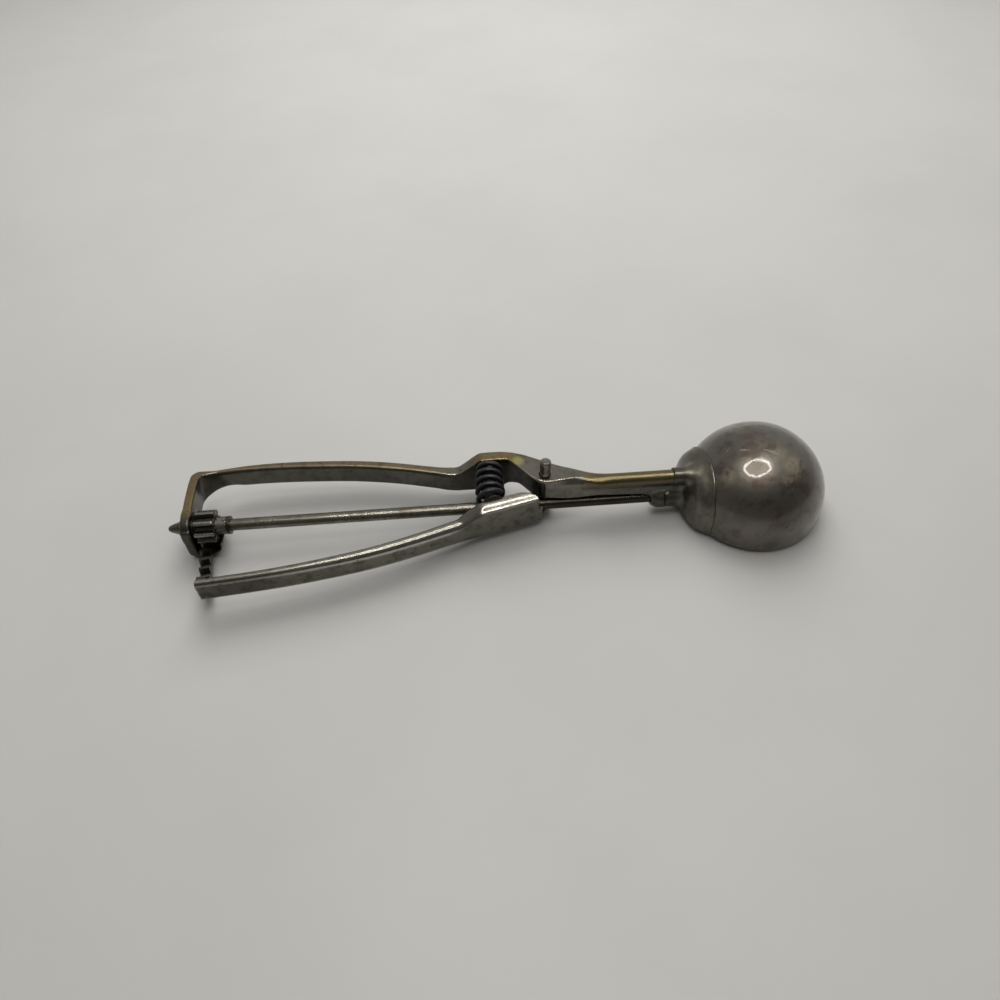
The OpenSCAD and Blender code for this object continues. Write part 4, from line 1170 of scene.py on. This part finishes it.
def build_camera():
    """The camera, in front of the scoop and looking down at it."""
    data = bpy.data.cameras.new("camera")
    data.lens, data.sensor_width = 27.0, 36.0
    data.clip_start, data.clip_end = 0.01, 20.0
    camera = place("camera", data)
    view = unit(row_direction((0.0567, 0.6403, -0.7660)))
    right = row_direction((0.9961, -0.0882, 0.0))
    right = unit(right - (right @ view) * view)
    stand(camera, right, np.cross(right, view), -view, to_row((-122.66, -195.14, 237.58)))
    bpy.context.scene.camera = camera


def ring_lamp(over, away, distance, wide, tall, band, strength, steps=96):
    """A flat oval ring that shines back at a place from a direction and distance: points centre +
    u a cos t + v b sin t, for the oval's outer half-widths (a, b) and for those less the band. The
    camera and the matt surfaces don't see it."""
    away = np.array(away, float)
    facing = -unit(away)
    u = unit(np.array([1.0, 0, 0]) - facing[0] * facing)
    v = np.cross(facing, u)
    t = np.linspace(0, 2 * math.pi, steps, endpoint=False)[:, None]
    centre = over + distance * away
    rings = [centre + u * (wide - d) * np.cos(t) + v * (tall - d) * np.sin(t) for d in (0, band)]
    mesh = bpy.data.meshes.new("ring_lamp")
    mesh.from_pydata(np.concatenate(rings), [], grid_faces(2, steps, False, True).tolist())
    glow = bpy.data.materials.new("ring_glow")
    g = blank(glow)
    light = g.add("Emission", Color=(1.0, 0.97, 0.92, 1), Strength=strength)
    clear = g.add("BsdfTransparent")
    path, side = g.add("LightPath"), g.add("NewGeometry")
    off = g.sum("MAXIMUM", path.outputs["Is Camera Ray"], side.outputs["Backfacing"])
    both = g.add("MixShader")
    g.fill(both, enumerate((off, light.outputs[0], clear.outputs[0])))
    g.finish(both)
    mesh.materials.append(glow)
    lamp = place("ring_lamp", mesh)
    lamp.visible_diffuse = False


def soft_lamp(name, away, distance, size, power):
    """A square lamp that lights the matt surfaces only, from a direction and distance over the
    middle of the scoop."""
    data = bpy.data.lights.new(name, "AREA")
    data.shape, data.size, data.energy = "SQUARE", size, power
    lamp = place(name, data)
    lamp.visible_glossy = False
    away = unit(away)
    side = np.cross(away, (0, 0, 1)) if abs(away[2]) < 0.95 else np.array([1.0, 0, 0])
    side = unit(side - (side @ away) * away)
    stand(lamp, side, np.cross(away, side), away, to_row((-90, 0, 0)) + distance * away)


def build_world():
    """A dim room, lighter towards the back and round a bright place high up there, and plain pale
    grey where the camera sees it."""
    world = bpy.data.worlds.new("room")
    g = blank(world)
    toward = g.add("TexCoord").outputs["Generated"]
    parts = g.add("SeparateXYZ", Vector=toward)
    rise = g.plus(parts.outputs[1], parts.outputs[2], 0.35)
    tint = g.mix(g.spread(rise, -0.55, 0.75), (0.15, 0.15, 0.148, 1), (0.5, 0.49, 0.47, 1))
    window = g.add("VectorMath", operation="DOT_PRODUCT")
    window = g.fill(window, enumerate((toward, (0.35, 0.5, 0.79))))["Value"]
    tint = g.mix(g.spread(window, 0.5, 1.0), tint, (0.72, 0.7, 0.67, 1))
    seen = g.add("LightPath").outputs["Is Camera Ray"]
    tint = g.mix(seen, tint, (0.78, 0.77, 0.745, 1))
    sky = g.add("Background", Color=tint, Strength=0.85)
    g.finish(sky, "OutputWorld")
    bpy.context.scene.world = world


build_table()
build_camera()
ring_lamp(to_row((-7, -10, 25)), row_direction((-0.10, -0.09, 0.99)), distance=0.46, wide=0.185,
          tall=0.125, band=0.021, strength=22.0)
soft_lamp("back_light", (0.05, 0.68, 0.73), 1.0, 0.7, 6.7)
soft_lamp("top_light", (0.0, 0.05, 1.0), 0.8, 0.5, 1.4)
build_world()
bpy.context.scene.view_settings.view_transform = "Standard"
